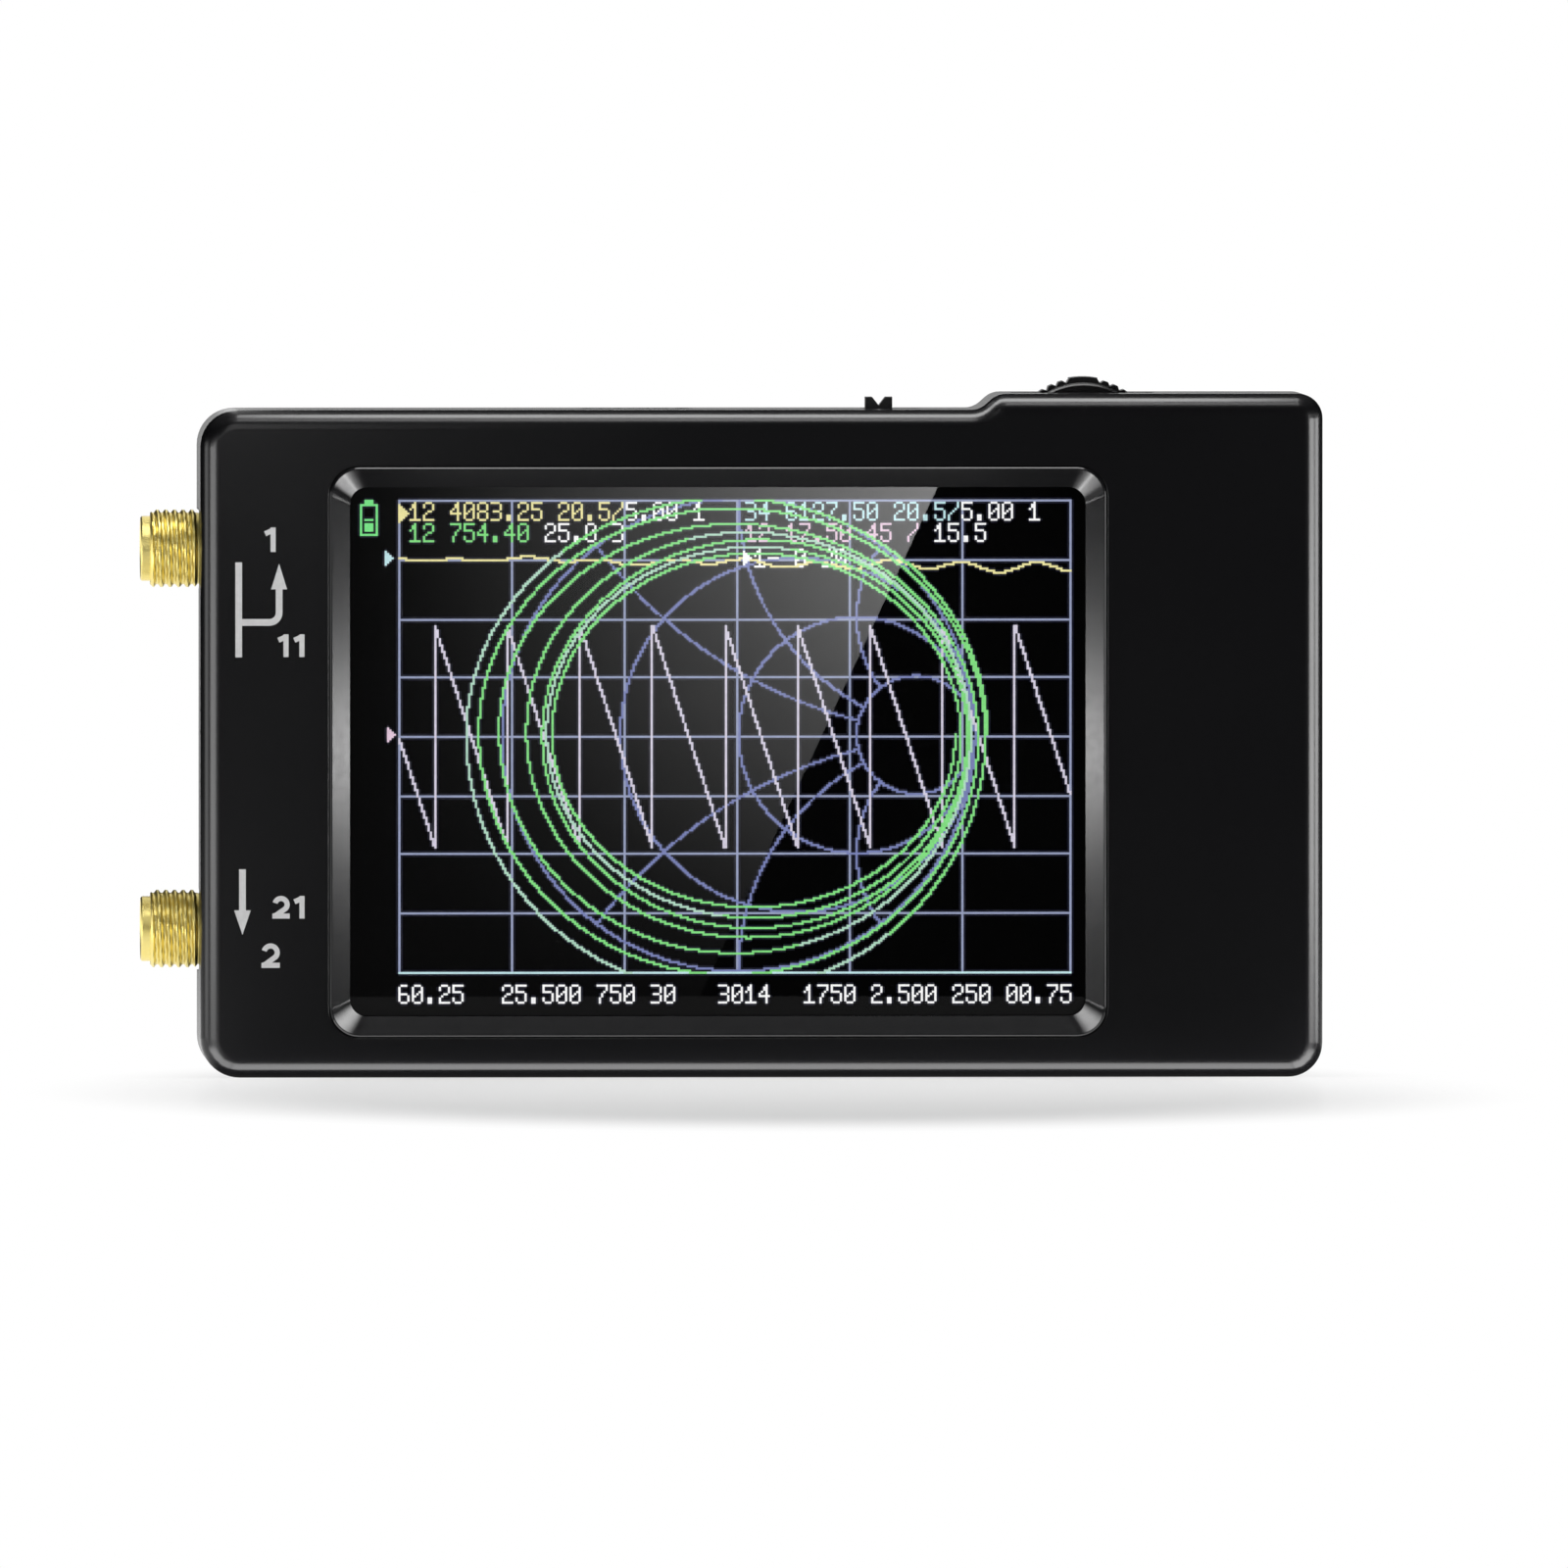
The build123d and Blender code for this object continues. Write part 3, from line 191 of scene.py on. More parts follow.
def polariser_film(name):
    """The dark polarising film on the display: near black, with a silky haze."""
    silky = {"IOR": 1.5, "Specular_IOR_Level": 0.05}
    material, shader, place = new_material(name, "#000001", 0.35, **silky)
    wander(shader, "Roughness", place, 0.4, 2.0, 0.3, 0.42)
    return material


def lit_pixel(name, colour, strength):
    """A lit picture element: colour filter over the backlight. The filter's cells show as a
    weave of fine brighter and darker threads."""
    light = linear(colour)
    material, shader, place = new_material(name, "#000000", 0.5, Emission_Color=light)
    wander(shader, "Emission Strength", place, 0.35, 1.0, strength * 0.85, strength * 1.1)
    return material


def gold_plated_brass(name):
    """Turned brass under a thin gold plating: fine tool rings round the axis, soft mirror."""
    material, shader, place = new_material(name, "#ffec92", 0.36, Metallic=1.0)
    tree = material.node_tree
    # Tool rings are 0.06 mm apart and lie across X, so the pattern is stretched round the axis.
    ring_place = add_node(tree, "Mapping", {"Vector": place, "Scale": (1.0, 0.04, 0.04)})
    rings = add_node(tree, "TexNoise", {"Vector": ring_place, "Scale": per_mm(0.06), "Detail": 2.0})
    emboss(shader, rings, 0.1, 0.005)
    tone = add_node(tree, "TexNoise", {"Vector": place, "Scale": per_mm(1.4), "Detail": 3.0})
    tint(shader, tone, "#ffe67e", "#fff2a6")
    return material


def mottled(name, colour, second_colour, roughness, patch_mm, relief, **sockets):
    """A plain material whose colour and gloss wander between two close tones in soft patches."""
    material, shader, place = new_material(name, colour, roughness, **sockets)
    low, high = 0.85 * roughness, 1.15 * roughness
    patch = wander(shader, "Roughness", place, patch_mm, 4.0, low, high)
    tint(shader, patch, colour, second_colour)
    emboss(shader, patch, relief, 0.02)
    return material


def epoxy_glass_board(name):
    """Green solder mask over woven glass: the threads cross every 0.8 mm and show faintly."""
    material, shader, place = new_material(name, "#0d4a26", 0.3, IOR=1.55)
    tree = material.node_tree
    thread = {"Vector": place, "Scale": per_mm(0.8) / math.tau}
    warp, weft = (
        add_node(tree, "TexWave", thread, bands_direction=way).outputs["Fac"] for way in "XZ"
    )
    weave = add_node(tree, "Math", {0: warp, 1: weft}, operation="MAXIMUM")
    tint(shader, weave, "#0b4022", "#12552e")
    return material


@cache
def finishes():
    """Make every finish once and return them by the record's slot names."""
    look = bpy.context.scene.analyzer_finish
    return {
        # Satin ABS, spark-eroded mould; grain of 0.15 mm is as coarse as it needs to show.
        "case_black": satin_moulded_abs("satin moulded ABS", "#08080a", look.case_roughness, 0.15),
        # Polished polycarbonate frame.
        "bezel_black": gloss_moulded_pc("gloss moulded polycarbonate", "#0c0c0d"),
        # Closed-cell foam: no gloss, cells of 0.2 mm.
        "foam_black": mottled("closed cell foam", "#151515", "#202020", 0.95, 0.2, 0.6),
        "touch_glass": touch_glass("touch panel glass"),
        "lcd_black": polariser_film("polariser film"),
        # Acrylic light guide with a dotted back that scatters the light.
        "light_guide_white": mottled("acrylic light guide", "#eeeeee", "#f8f8f8", 0.15, 0.5, 0.1),
        # Stainless sheet as rolled.
        "tray_steel": mottled(
            "rolled stainless sheet", "#a6a6a8", "#b4b4b6", 0.3, 0.8, 0.1, **METAL
        ),
        # Polyimide film over copper tracks.
        "ribbon_amber": mottled("polyimide film", "#b06a1c", "#a05c14", 0.35, 1.5, 0.05),
        "socket_white": mottled("natural nylon", "#e4dfd0", "#dad4c4", 0.45, 0.7, 0.1),
        "board_green": epoxy_glass_board("solder masked board"),
        # Moulding compound of the chips: matt with a trace of filler.
        "chip_black": mottled("epoxy moulding compound", "#17171a", "#1f1f22", 0.6, 0.15, 0.3),
        # Tinned steel of the screening cans and sockets.
        "can_steel": mottled("tinned steel", "#b9b8b4", "#c4c3bf", 0.28, 0.9, 0.08, **METAL),
        "port_gold": gold_plated_brass("gold plated brass"),
        # PTFE: waxy white, light enters it a little.
        "ptfe_white": mottled("turned PTFE", "#f1f0ec", "#e7e6e1", 0.4, 0.4, 0.1, **WAXY),
        # Aluminium laminate of the pouch cell, pressed in shallow creases.
        "cell_foil": mottled("pouch foil", "#b8b9bb", "#a9aaac", 0.38, 4.0, 0.5, **METAL),
        "lead_red": mottled("red wire sleeve", "#9a1414", "#861010", 0.4, 0.5, 0.05),
        "lead_black": mottled("black wire sleeve", "#121212", "#1a1a1a", 0.4, 0.5, 0.05),
        # Glass-filled nylon of the slide knob.
        "knob_black": satin_moulded_abs("glass filled nylon", "#161617", 0.36, 0.1),
        # Acetal of the thumb wheel: denser and a little glossier.
        "wheel_black": satin_moulded_abs("moulded acetal", "#101011", 0.26, 0.12),
        "dome_steel": mottled("spring steel", "#adadb0", "#bcbcc0", 0.22, 0.5, 0.05, **METAL),
        # Blackened steel screws: thin oxide with bare metal glinting through.
        "screw_black": mottled("blackened steel", "#1d1d1f", "#2b2b2d", 0.33, 0.3, 0.2, **METAL),
        "insert_brass": mottled("turned brass", "#c99a45", "#b98a38", 0.28, 0.2, 0.2, **METAL),
    }


# ------------------------------------------------------------------ meshes from arrays
def grid_faces(rows, columns, closed_rows=False, closed_columns=False):
    """Four-cornered faces between neighbours of a rows by columns grid of points."""
    row = np.arange(rows if closed_rows else rows - 1)
    column = np.arange(columns if closed_columns else columns - 1)
    i, j = np.meshgrid(row, column, indexing="ij")
    next_i, next_j = (i + 1) % rows * columns, (j + 1) % columns
    corners = [i * columns + j, i * columns + next_j, next_i + next_j, next_i + j]
    return np.stack(corners, axis=-1).reshape(-1, 4)


def new_object(name, points, faces, materials):
    """An object in the scene from arrays of points and faces."""
    mesh = bpy.data.meshes.new(name)
    mesh.from_pydata(np.asarray(points).reshape(-1, 3).tolist(), [], list(faces))
    for material in materials:
        mesh.materials.append(material)
    made = bpy.data.objects.new(name, mesh)
    bpy.context.scene.collection.objects.link(made)
    return made


def smooth(piece):
    """Shade a piece smooth, but for edges that turn by more than 30 degrees."""
    piece.data.shade_smooth()
    piece.data.set_sharp_from_angle(angle=math.radians(30))


def new_piece(name, points, faces, body, materials):
    """A piece from arrays of points and faces that rides on a body of the part."""
    piece = new_object(name, points, faces, materials)
    smooth(piece)
    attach(piece, body)
    return piece


def close_up(piece):
    """Merge doubled points and turn every face of a closed piece outwards."""
    work = bmesh.new()
    work.from_mesh(piece.data)
    bmesh.ops.remove_doubles(work, verts=work.verts, dist=0.0005 * MM)
    bmesh.ops.recalc_face_normals(work, faces=work.faces)
    work.to_mesh(piece.data)
    work.free()
    smooth(piece)


# ------------------------------------------------------------------ port barrels
# Powers n of the outline |cos a|^n + |sin a|^n: a circle, and a square with rounded corners.
ROUND, SQUARE = 2, 12
AROUND = 96
ROWS_PER_TURN = 14


def lathe_points(x, radius, power, centre_z):
    """Points round an X axis: at angle a the radius is r / (|cos a|^n + |sin a|^n)^(1/n)."""
    angle = np.linspace(0, math.tau, AROUND, endpoint=False)
    cosine, sine = np.cos(angle), np.sin(angle)
    power = power[:, None]
    across = radius * (np.abs(cosine) ** power + np.abs(sine) ** power) ** (-1 / power)
    x = np.broadcast_to(x[:, None], across.shape)
    return np.stack([x, across * cosine, centre_z + across * sine], axis=-1)


def barrel_rows(tip, crest, look):
    """Rows (x, radius, power) of a port before and after its thread: from the bore's floor
    through the flange and the neck, and from the nose back down the bore."""
    wall = CASE_LOW.x
    flange_front, flange_back = wall + 2.1 * MM, wall + 3.8 * MM
    thread_end, nose_end = wall - 0.1 * MM, tip + 0.8 * MM
    seat, neck, nose, rim, lip = 2.05 * MM, 2.9 * MM, 2.65 * MM, 2.53 * MM, 2.4 * MM
    outer_chamfer, inner_chamfer = 0.12 * MM, 0.1 * MM
    bore_floor, bore = tip + look.bore_depth, look.bore_radius
    before = [
        (bore_floor, seat, ROUND),
        (flange_back, seat, ROUND),
        (flange_back, crest, SQUARE),
        (flange_front, crest, SQUARE),
        (flange_front, neck, ROUND),
        (thread_end, neck, ROUND),
    ]
    after = [
        (nose_end, nose, ROUND),
        (tip + outer_chamfer, nose, ROUND),
        (tip, rim, ROUND),
        (tip, lip, ROUND),
        (tip + inner_chamfer, bore, ROUND),
        (bore_floor, bore, ROUND),
    ]
    return np.array(before), np.array(after)


def thread_radius(x, turn, start, end, crest, look):
    """Radius of a right-hand thread: a trapezoid wave of x / pitch - angle / turn, faded out
    over a third of a pitch at the nose and at the wall."""
    phase = (x / look.thread_pitch - turn / math.tau) % 1.0
    flank = np.clip(4.0 * np.abs(phase - 0.5) - 0.5, 0.0, 1.0)
    fade = np.clip(np.minimum(x - start, end - x) / (look.thread_pitch / 3), 0.0, 1.0)
    return crest - look.thread_depth + look.thread_depth * np.minimum(flank, fade)


class ANALYZER_OT_port_barrels(bpy.types.Operator):
    """Cut the real threads into the two port barrels"""

    bl_idname = "analyzer.port_barrels"
    bl_label = "Port barrels"

    def execute(self, context):
        look = context.scene.analyzer_ports
        turn = np.linspace(0, math.tau, AROUND, endpoint=False)
        for port in PORT_NAMES:
            node = f"sma_body_{port}"
            low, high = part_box(node)
            crest = (high.z - low.z) / 2
            before, after = barrel_rows(low.x, crest, look)
            start, end = after[0, 0], before[-1, 0]
            rows = int(round((end - start) / look.thread_pitch * ROWS_PER_TURN))
            thread_x = np.linspace(end, start, rows)
            thread = thread_radius(thread_x[:, None], turn, start, end, crest, look)
            x = np.concatenate([before[:, 0], thread_x, after[:, 0]])
            power = np.concatenate([before[:, 2], np.full(rows, ROUND), after[:, 2]])
            plain = [np.repeat(ends[:, 1:2], AROUND, axis=1) for ends in (before, after)]
            radius = np.concatenate([plain[0], thread, plain[1]])
            points = lathe_points(x, radius, power, (low.z + high.z) / 2)
            faces = grid_faces(len(x), AROUND, True, True)
            gold = finishes()["port_gold"]
            barrel = new_piece(f"port_barrel_{port}", points, faces, "case", [gold])
            close_up(barrel)
            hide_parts(node)
        return {"FINISHED"}


# ------------------------------------------------------------------ lit display
# Numerals drawn five picture elements wide and seven high, one number per row of bits.
NUMERALS = {
    "0": (14, 17, 19, 21, 25, 17, 14),
    "1": (4, 12, 20, 4, 4, 4, 31),
    "2": (14, 17, 1, 6, 8, 16, 31),
    "3": (30, 1, 1, 14, 1, 1, 30),
    "4": (2, 6, 10, 18, 31, 2, 2),
    "5": (31, 16, 30, 1, 1, 17, 14),
    "6": (14, 16, 16, 30, 17, 17, 14),
    "7": (31, 1, 2, 4, 4, 8, 8),
    "8": (14, 17, 17, 14, 17, 17, 14),
    "9": (14, 17, 17, 15, 1, 1, 14),
    ".": (0, 0, 0, 0, 0, 12, 12),
    "/": (1, 1, 2, 4, 8, 16, 16),
    "-": (0, 0, 0, 31, 0, 0, 0),
    " ": (0, 0, 0, 0, 0, 0, 0),
}

# The numerals are drawn nine elements high, in cells of six by ten: two rows of bits are
# shown twice.
TALL = [0, 1, 1, 2, 3, 4, 5, 5, 6]
NUMERAL_ACROSS, CELL_ACROSS = 5, 6

# Colour number of a picture element; 0 is dark.
GLOW, GRID, CHART, PHASE, LOOPS, PALE, LEVEL, CYAN, PINK, WHITE, CHARGE = range(1, 12)

# Extremes of the looping trace after each whole turn, in columns and rows of the picture.
LOOP_LEFT = [46.5, 52, 57.5, 68, 82, 84, 85.5, 87]
LOOP_RIGHT = [280, 278.5, 276, 273.5, 272, 270.5, 268.5, 266.5]
LOOP_TOP = [0, 3.5, 12, 16, 19.5, 23, 26, 29]
LOOP_BOTTOM = [238, 231, 223, 212, 206, 202, 197, 192]

SCREEN_COLUMNS, SCREEN_ROWS = 320, 240
GRID_LEFT, GRID_RIGHT, GRID_TOP, GRID_BOTTOM = 19, 317, 2, 224
CHART_COLUMN, CHART_ROW = 169.6, 112.2
CHART_ACROSS, CHART_HIGH = 105.0, 111.0

# Numbers on the display: text, column and row of its top left corner, colour.
HEAD_LINES = (
    ("12 4083.25 20.5/", 24, 3, LEVEL),
    ("5.00 1", 120, 3, WHITE),
    ("12 754.40", 24, 13, LOOPS),
    ("25.0 3", 84, 13, WHITE),
    ("34 6127.50 20.5/", 173, 3, CYAN),
    ("5.00 1", 269, 3, WHITE),
    ("12 17.50 45 /", 173, 13, PINK),
    ("15.5", 257, 13, WHITE),
    ("1- 0 30", 177, 25, WHITE),
)
FOOT_LINES = (
    ("60.25", 19, 230, WHITE),
    ("25.500 750 30", 65, 230, WHITE),
    ("3014", 161, 230, WHITE),
    ("1750 2.500 250 00.75", 199, 230, WHITE),
)
# Triangles: column of the base, row of the tip, size, colour.
POINTERS = ((19, 8, 5, LEVEL), (13, 29, 4, CYAN), (14, 112, 4, PINK), (172, 29, 4, WHITE))


def draw(picture, columns, rows, colour):
    """Light the elements nearest to the given points that lie inside the grid."""
    c, r = np.rint(columns).astype(int), np.rint(rows).astype(int)
    inside = (c >= GRID_LEFT) & (c <= GRID_RIGHT) & (r >= GRID_TOP) & (r <= GRID_BOTTOM)
    picture[r[inside], c[inside]] = colour


def write(picture, text, column, row, colour):
    """Light a line of numerals from its top left corner."""
    bits = np.array([NUMERALS[letter] for letter in text])[:, TALL]
    lit = (bits[:, :, None] >> np.arange(NUMERAL_ACROSS - 1, -1, -1)) & 1
    letter, r, c = np.nonzero(lit)
    picture[row + r, column + CELL_ACROSS * letter + c] = colour


def pointer(picture, column, row, size, colour):
    """Light a filled triangle that points right: its half height shrinks with each column."""
    c, r = np.meshgrid(np.arange(size), np.arange(-size, size + 1))
    filled = np.abs(r) <= (size - 1 - c)
    picture[row + r[filled], column + c[filled]] = colour


def chart_arcs(picture):
    """Circles of constant resistance r, centre r / (1 + r) and radius 1 / (1 + r), and arcs of
    constant reactance x, centre (1, 1 / x) and radius 1 / |x|, from the unit circle to the
    circle of resistance 3."""
    turn = np.linspace(0, math.tau, 4000)
    for resistance in (0.0, 1 / 3, 1.0, 3.0):
        u = (resistance + np.cos(turn)) / (1 + resistance)
        v = np.sin(turn) / (1 + resistance)
        draw(picture, CHART_COLUMN + CHART_ACROSS * u, CHART_ROW - CHART_HIGH * v, CHART)
    for reactance in (-2.0, -1.0, -0.5, 0.5, 1.0, 2.0):
        u = 1 + np.cos(turn) / abs(reactance)
        v = 1 / reactance + np.sin(turn) / abs(reactance)
        held = (u**2 + v**2 <= 1) & ((u - 0.75) ** 2 + v**2 >= 1 / 16)
        u, v = u[held], v[held]
        draw(picture, CHART_COLUMN + CHART_ACROSS * u, CHART_ROW - CHART_HIGH * v, CHART)


def sweep_loops(picture):
    """The reflection of a lossy cable over the sweep: a spiral whose extremes to the four
    sides are read between the tables of whole turns, so that its turns crowd at the right."""
    turns = np.linspace(0, len(LOOP_LEFT) - 1, 60000)
    whole = np.arange(len(LOOP_LEFT))
    left, right, top, bottom = (
        np.interp(turns, whole, table) for table in (LOOP_LEFT, LOOP_RIGHT, LOOP_TOP, LOOP_BOTTOM)
    )
    angle = math.tau * turns
    cosine, sine = np.cos(angle), np.sin(angle)
    middle = (left + right) / 2
    columns = middle + (right - left) / 2 * cosine + 0.7 * np.sin(11.3 * angle / 9)
    rows = CHART_ROW - np.where(sine > 0, CHART_ROW - top, bottom - CHART_ROW) * sine
    draw(picture, columns, rows, LOOPS)
    pale = np.sin(3.7 * angle / 9) > 0.8
    draw(picture, columns[pale], rows[pale], PALE)


def sweep_lines(picture):
    """The phase as a saw-tooth of 32.2 columns, and the level as a growing ripple."""
    c = np.linspace(GRID_LEFT, GRID_RIGHT, 6000)
    period, first, top, fall = 32.2, 34.8, 61.0, 104.0
    draw(picture, c, top + fall * (((c - first) / period) % 1.0), PHASE)
    jumps = np.rint(first + period * np.arange(9)).astype(int)
    picture[int(top) : int(top + fall) + 1, jumps] = PHASE
    along = (c - GRID_LEFT) / (GRID_RIGHT - GRID_LEFT)
    ripple = (0.5 + 1.8 * along) * np.sin(along * 58) + 0.7 * np.sin(along * 23)
    draw(picture, c, 29.0 + 4.5 * along + ripple, LEVEL)


def screen_picture():
    """The whole picture as an array of colour numbers, top row first."""
    picture = np.zeros((SCREEN_ROWS, SCREEN_COLUMNS), int)
    lines_down = np.minimum(GRID_LEFT + 50 * np.arange(7), GRID_RIGHT)
    lines_across = np.rint(np.linspace(GRID_TOP, GRID_BOTTOM, 9)).astype(int)
    picture[GRID_TOP : GRID_BOTTOM + 1, lines_down] = GRID
    picture[lines_across, GRID_LEFT : GRID_RIGHT + 1] = GRID
    chart_arcs(picture)
    picture[GRID_BOTTOM, GRID_LEFT : GRID_RIGHT + 1] = CYAN
    for line in HEAD_LINES:
        write(picture, *line)
    sweep_lines(picture)
    sweep_loops(picture)
    for line in FOOT_LINES:
        write(picture, *line)
    for mark in POINTERS:
        pointer(picture, *mark)
    # Battery sign: a cap, an outline, one bar and one block.
    picture[2:4, 4:8] = CHARGE
    picture[4:19, 2:10] = CHARGE
    picture[5:18, 3:9] = 0
    picture[11, 4:8] = CHARGE
    picture[13:17, 4:8] = CHARGE
    # Light leaks into the dark elements beside a lit one.
    lit = picture > 0
    beside = np.zeros_like(lit)
    beside[1:] |= lit[:-1]
    beside[:-1] |= lit[1:]
    beside[:, 1:] |= lit[:, :-1]
    beside[:, :-1] |= lit[:, 1:]
    picture[beside & ~lit] = GLOW
    return picture


def runs_of(picture):
    """Row, first column, end column and colour of every run of equal lit elements in a row."""
    edge = np.ones((picture.shape[0], 1), bool)
    change = np.concatenate([edge, picture[:, 1:] != picture[:, :-1]], axis=1)
    row, first = np.nonzero(change)
    ends = np.concatenate([change[:, 1:], edge], axis=1)
    last = np.nonzero(ends)[1] + 1
    colour = picture[row, first]
    lit = colour > 0
    return row[lit], first[lit], last[lit], colour[lit]


class ANALYZER_OT_display(bpy.types.Operator):
    """Light the display's picture elements in front of the panel"""

    bl_idname = "analyzer.display"
    bl_label = "Lit display"

    def execute(self, context):
        look = context.scene.analyzer_screen
        row, first, last, colour = runs_of(screen_picture())
        left = SCREEN_LOW.x + look.side_margin
        top = SCREEN_HIGH.z - look.top_margin
        pitch_x = look.picture_width / SCREEN_COLUMNS
        pitch_z = look.picture_height / SCREEN_ROWS
        x = np.stack([first, last, last, first], axis=1) * pitch_x + left
        z = top - np.stack([row + 1, row + 1, row, row], axis=1) * pitch_z
        y = np.full(x.shape, SCREEN_LOW.y - look.layer_gap)
        points = np.stack([x, y, z], axis=-1)
        faces = np.arange(points.size // 3).reshape(-1, 4)
        palette = {
            "glow": look.glow_colour,
            "grid": look.grid_colour,
            "chart": look.chart_colour,
            "phase": look.phase_colour,
            "loops": look.loops_colour,
            "pale loops": look.pale_colour,
            "level": look.level_colour,
            "cyan": look.cyan_colour,
            "pink": look.pink_colour,
            "white": "#ffffff",
            "charge": look.charge_colour,
        }
        materials = [
            lit_pixel(f"lit pixels {name}", hue, look.brightness) for name, hue in palette.items()
        ]
        piece = new_piece("lit_display", points, faces, "case", materials)
        piece.data.polygons.foreach_set("material_index", (colour - 1).astype(np.int32))
        return {"FINISHED"}


# ------------------------------------------------------------------ printed marks
def ribbon(x, z, width):
    """A flat band along a path in the front face: each point is moved half the width to both
    sides, along the path's normal."""
    along = np.stack([np.gradient(x), np.gradient(z)], axis=1)
    along /= np.linalg.norm(along, axis=1)[:, None]
    side = np.stack([-along[:, 1], along[:, 0]], axis=1) * width / 2
    near, far = np.stack([x, z], axis=1) - side, np.stack([x, z], axis=1) + side
    return np.stack([near, far], axis=0)


# Printed shapes that overlap lie this far in front of each other.
STACK_STEP = 0.002 * MM


class PrintSheet:
    """Collects flat shapes before the front face, each a hair in front of the last."""

    def __init__(self, y):
        self.y = y
        self.points = []
        self.faces = []
        self.count = 0

    def add(self, flat_points, faces):
        flat = np.asarray(flat_points).reshape(-1, 2)
        y = np.full(len(flat), self.y - STACK_STEP * len(self.points))
        self.points.append(np.stack([flat[:, 0], y, flat[:, 1]], axis=1))
        self.faces += [[index + self.count for index in face] for face in faces]
        self.count += len(flat)

    def band(self, x, z, width):
        band = ribbon(np.asarray(x, float), np.asarray(z, float), width)
        self.add(band, grid_faces(2, band.shape[1]).tolist())

    def head(self, tip_x, tip_z, width, length):
        """A solid arrow head; a negative length points down."""
        base_z = tip_z - length
        corners = [(tip_x, tip_z), (tip_x - width / 2, base_z), (tip_x + width / 2, base_z)]
        self.add(corners, [[0, 1, 2] if length > 0 else [0, 2, 1]])

    def numeral(self, figure, x, z, height, width):
        """A figure one or two of the given height, centred on x and z, drawn with one stroke."""
        half, stem = height / 2, width / 2
        flag_out, flag_up, radius = 0.22 * height, 0.24 * height, 0.27 * height
        if figure == 1:
            self.band([x + stem, x + stem], [z - half, z + half], width)
            self.band([x - flag_out, x + stem], [z + flag_up, z + half - stem], width)
            return
        turn = np.linspace(math.radians(165), math.radians(-38), 20)
        arc_x, arc_z = x + radius * np.cos(turn), z + half - stem - radius + radius * np.sin(turn)
        foot_x, foot_z = x - radius, z - half + stem
        self.band(np.append(arc_x, foot_x), np.append(arc_z, foot_z), width)
        self.band([x - radius - stem, x + radius + stem], [foot_z, foot_z], width)


class ANALYZER_OT_marks(bpy.types.Operator):
    """Print the port numbers and signal arrows on the left strip"""

    bl_idname = "analyzer.marks"
    bl_label = "Printed marks"

    def execute(self, context):
        look = context.scene.analyzer_marks
        left = CASE_LOW.x
        sheet = PrintSheet(FRONT_Y - look.layer_height)
        bold, width = look.figure_width, look.line_width
        port_x, port_high = left + 5.7 * MM, look.number_height
        label_near_x, label_x, label_high = left + 6.55 * MM, left + 8.05 * MM, look.label_height
        for figure, port_z in ((1, 43.95 * MM), (2, 10.0 * MM)):
            sheet.numeral(figure, port_x, port_z, port_high, bold)
        # Out of port 1 and back into it: a bar, and a branch that turns up to an arrow.
        bar_x, arrow_x = left + 3.1 * MM, left + 6.4 * MM
        bar_z, branch_z, branch_end = [34.35 * MM, 42.1 * MM], 37.2 * MM, 40.2 * MM
        tip_z, bend, label_z = 42.0 * MM, 0.8 * MM, 35.3 * MM
        sheet.band([bar_x, bar_x], bar_z, width)
        turn = np.linspace(-math.pi / 2, 0, 13)
        branch_x = np.concatenate([[bar_x], arrow_x - bend + bend * np.cos(turn), [arrow_x]])
        branch_up = branch_z + bend + bend * np.sin(turn)
        branch_up = np.concatenate([[branch_z], branch_up, [branch_end]])
        sheet.band(branch_x, branch_up, width)
        sheet.head(arrow_x, tip_z, 1.3 * MM, 2.1 * MM)
        sheet.numeral(1, label_near_x + 0.2 * MM, label_z, label_high, bold)
        sheet.numeral(1, label_x, label_z, label_high, bold)
        # From port 1 to port 2: a plain arrow down.
        down_x, down_z = left + 3.4 * MM, [17.05 * MM, 13.2 * MM]
        tip_z, label_z = 11.7 * MM, 13.95 * MM
        sheet.band([down_x, down_x], down_z, width)
        sheet.head(down_x, tip_z, 1.36 * MM, -2.0 * MM)
        sheet.numeral(2, label_near_x, label_z, label_high, bold)
        sheet.numeral(1, label_x, label_z, label_high, bold)
        # Pad-printed grey ink: matt, a little thinner towards the edges of its fine pores.
        ink = mottled("pad printed ink", look.ink_colour, "#c6c6c6", 0.55, 0.3, 0.1, IOR=1.5)
        points = np.concatenate(sheet.points)
        new_piece("printed_marks", points, sheet.faces, "case", [ink])
        return {"FINISHED"}


# ------------------------------------------------------------------ finishes on the CAD nodes
class ANALYZER_OT_finish_nodes(bpy.types.Operator):
    """Give every part of the assembly its finish"""

    bl_idname = "analyzer.finish_nodes"
    bl_label = "Part finishes"

    def execute(self, context):
        for part in frame["record"]["subparts"]:
            node = frame["nodes"][part["node"]]
            node.data.materials.clear()
            node.data.materials.append(finishes()[part["material_slot"]])
        return {"FINISHED"}


# ------------------------------------------------------------------ studio
SIDE, AHEAD, UP = Vector((1, 0, 0)), Vector((0, -1, 0)), Vector((0, 0, 1))
HALF_WIDTH = CASE_HIGH.x
STRIP_LENGTH = 1.9 * HALF_WIDTH
# Lamps on the table lie this far above it.
LIFT = 0.05 * MM


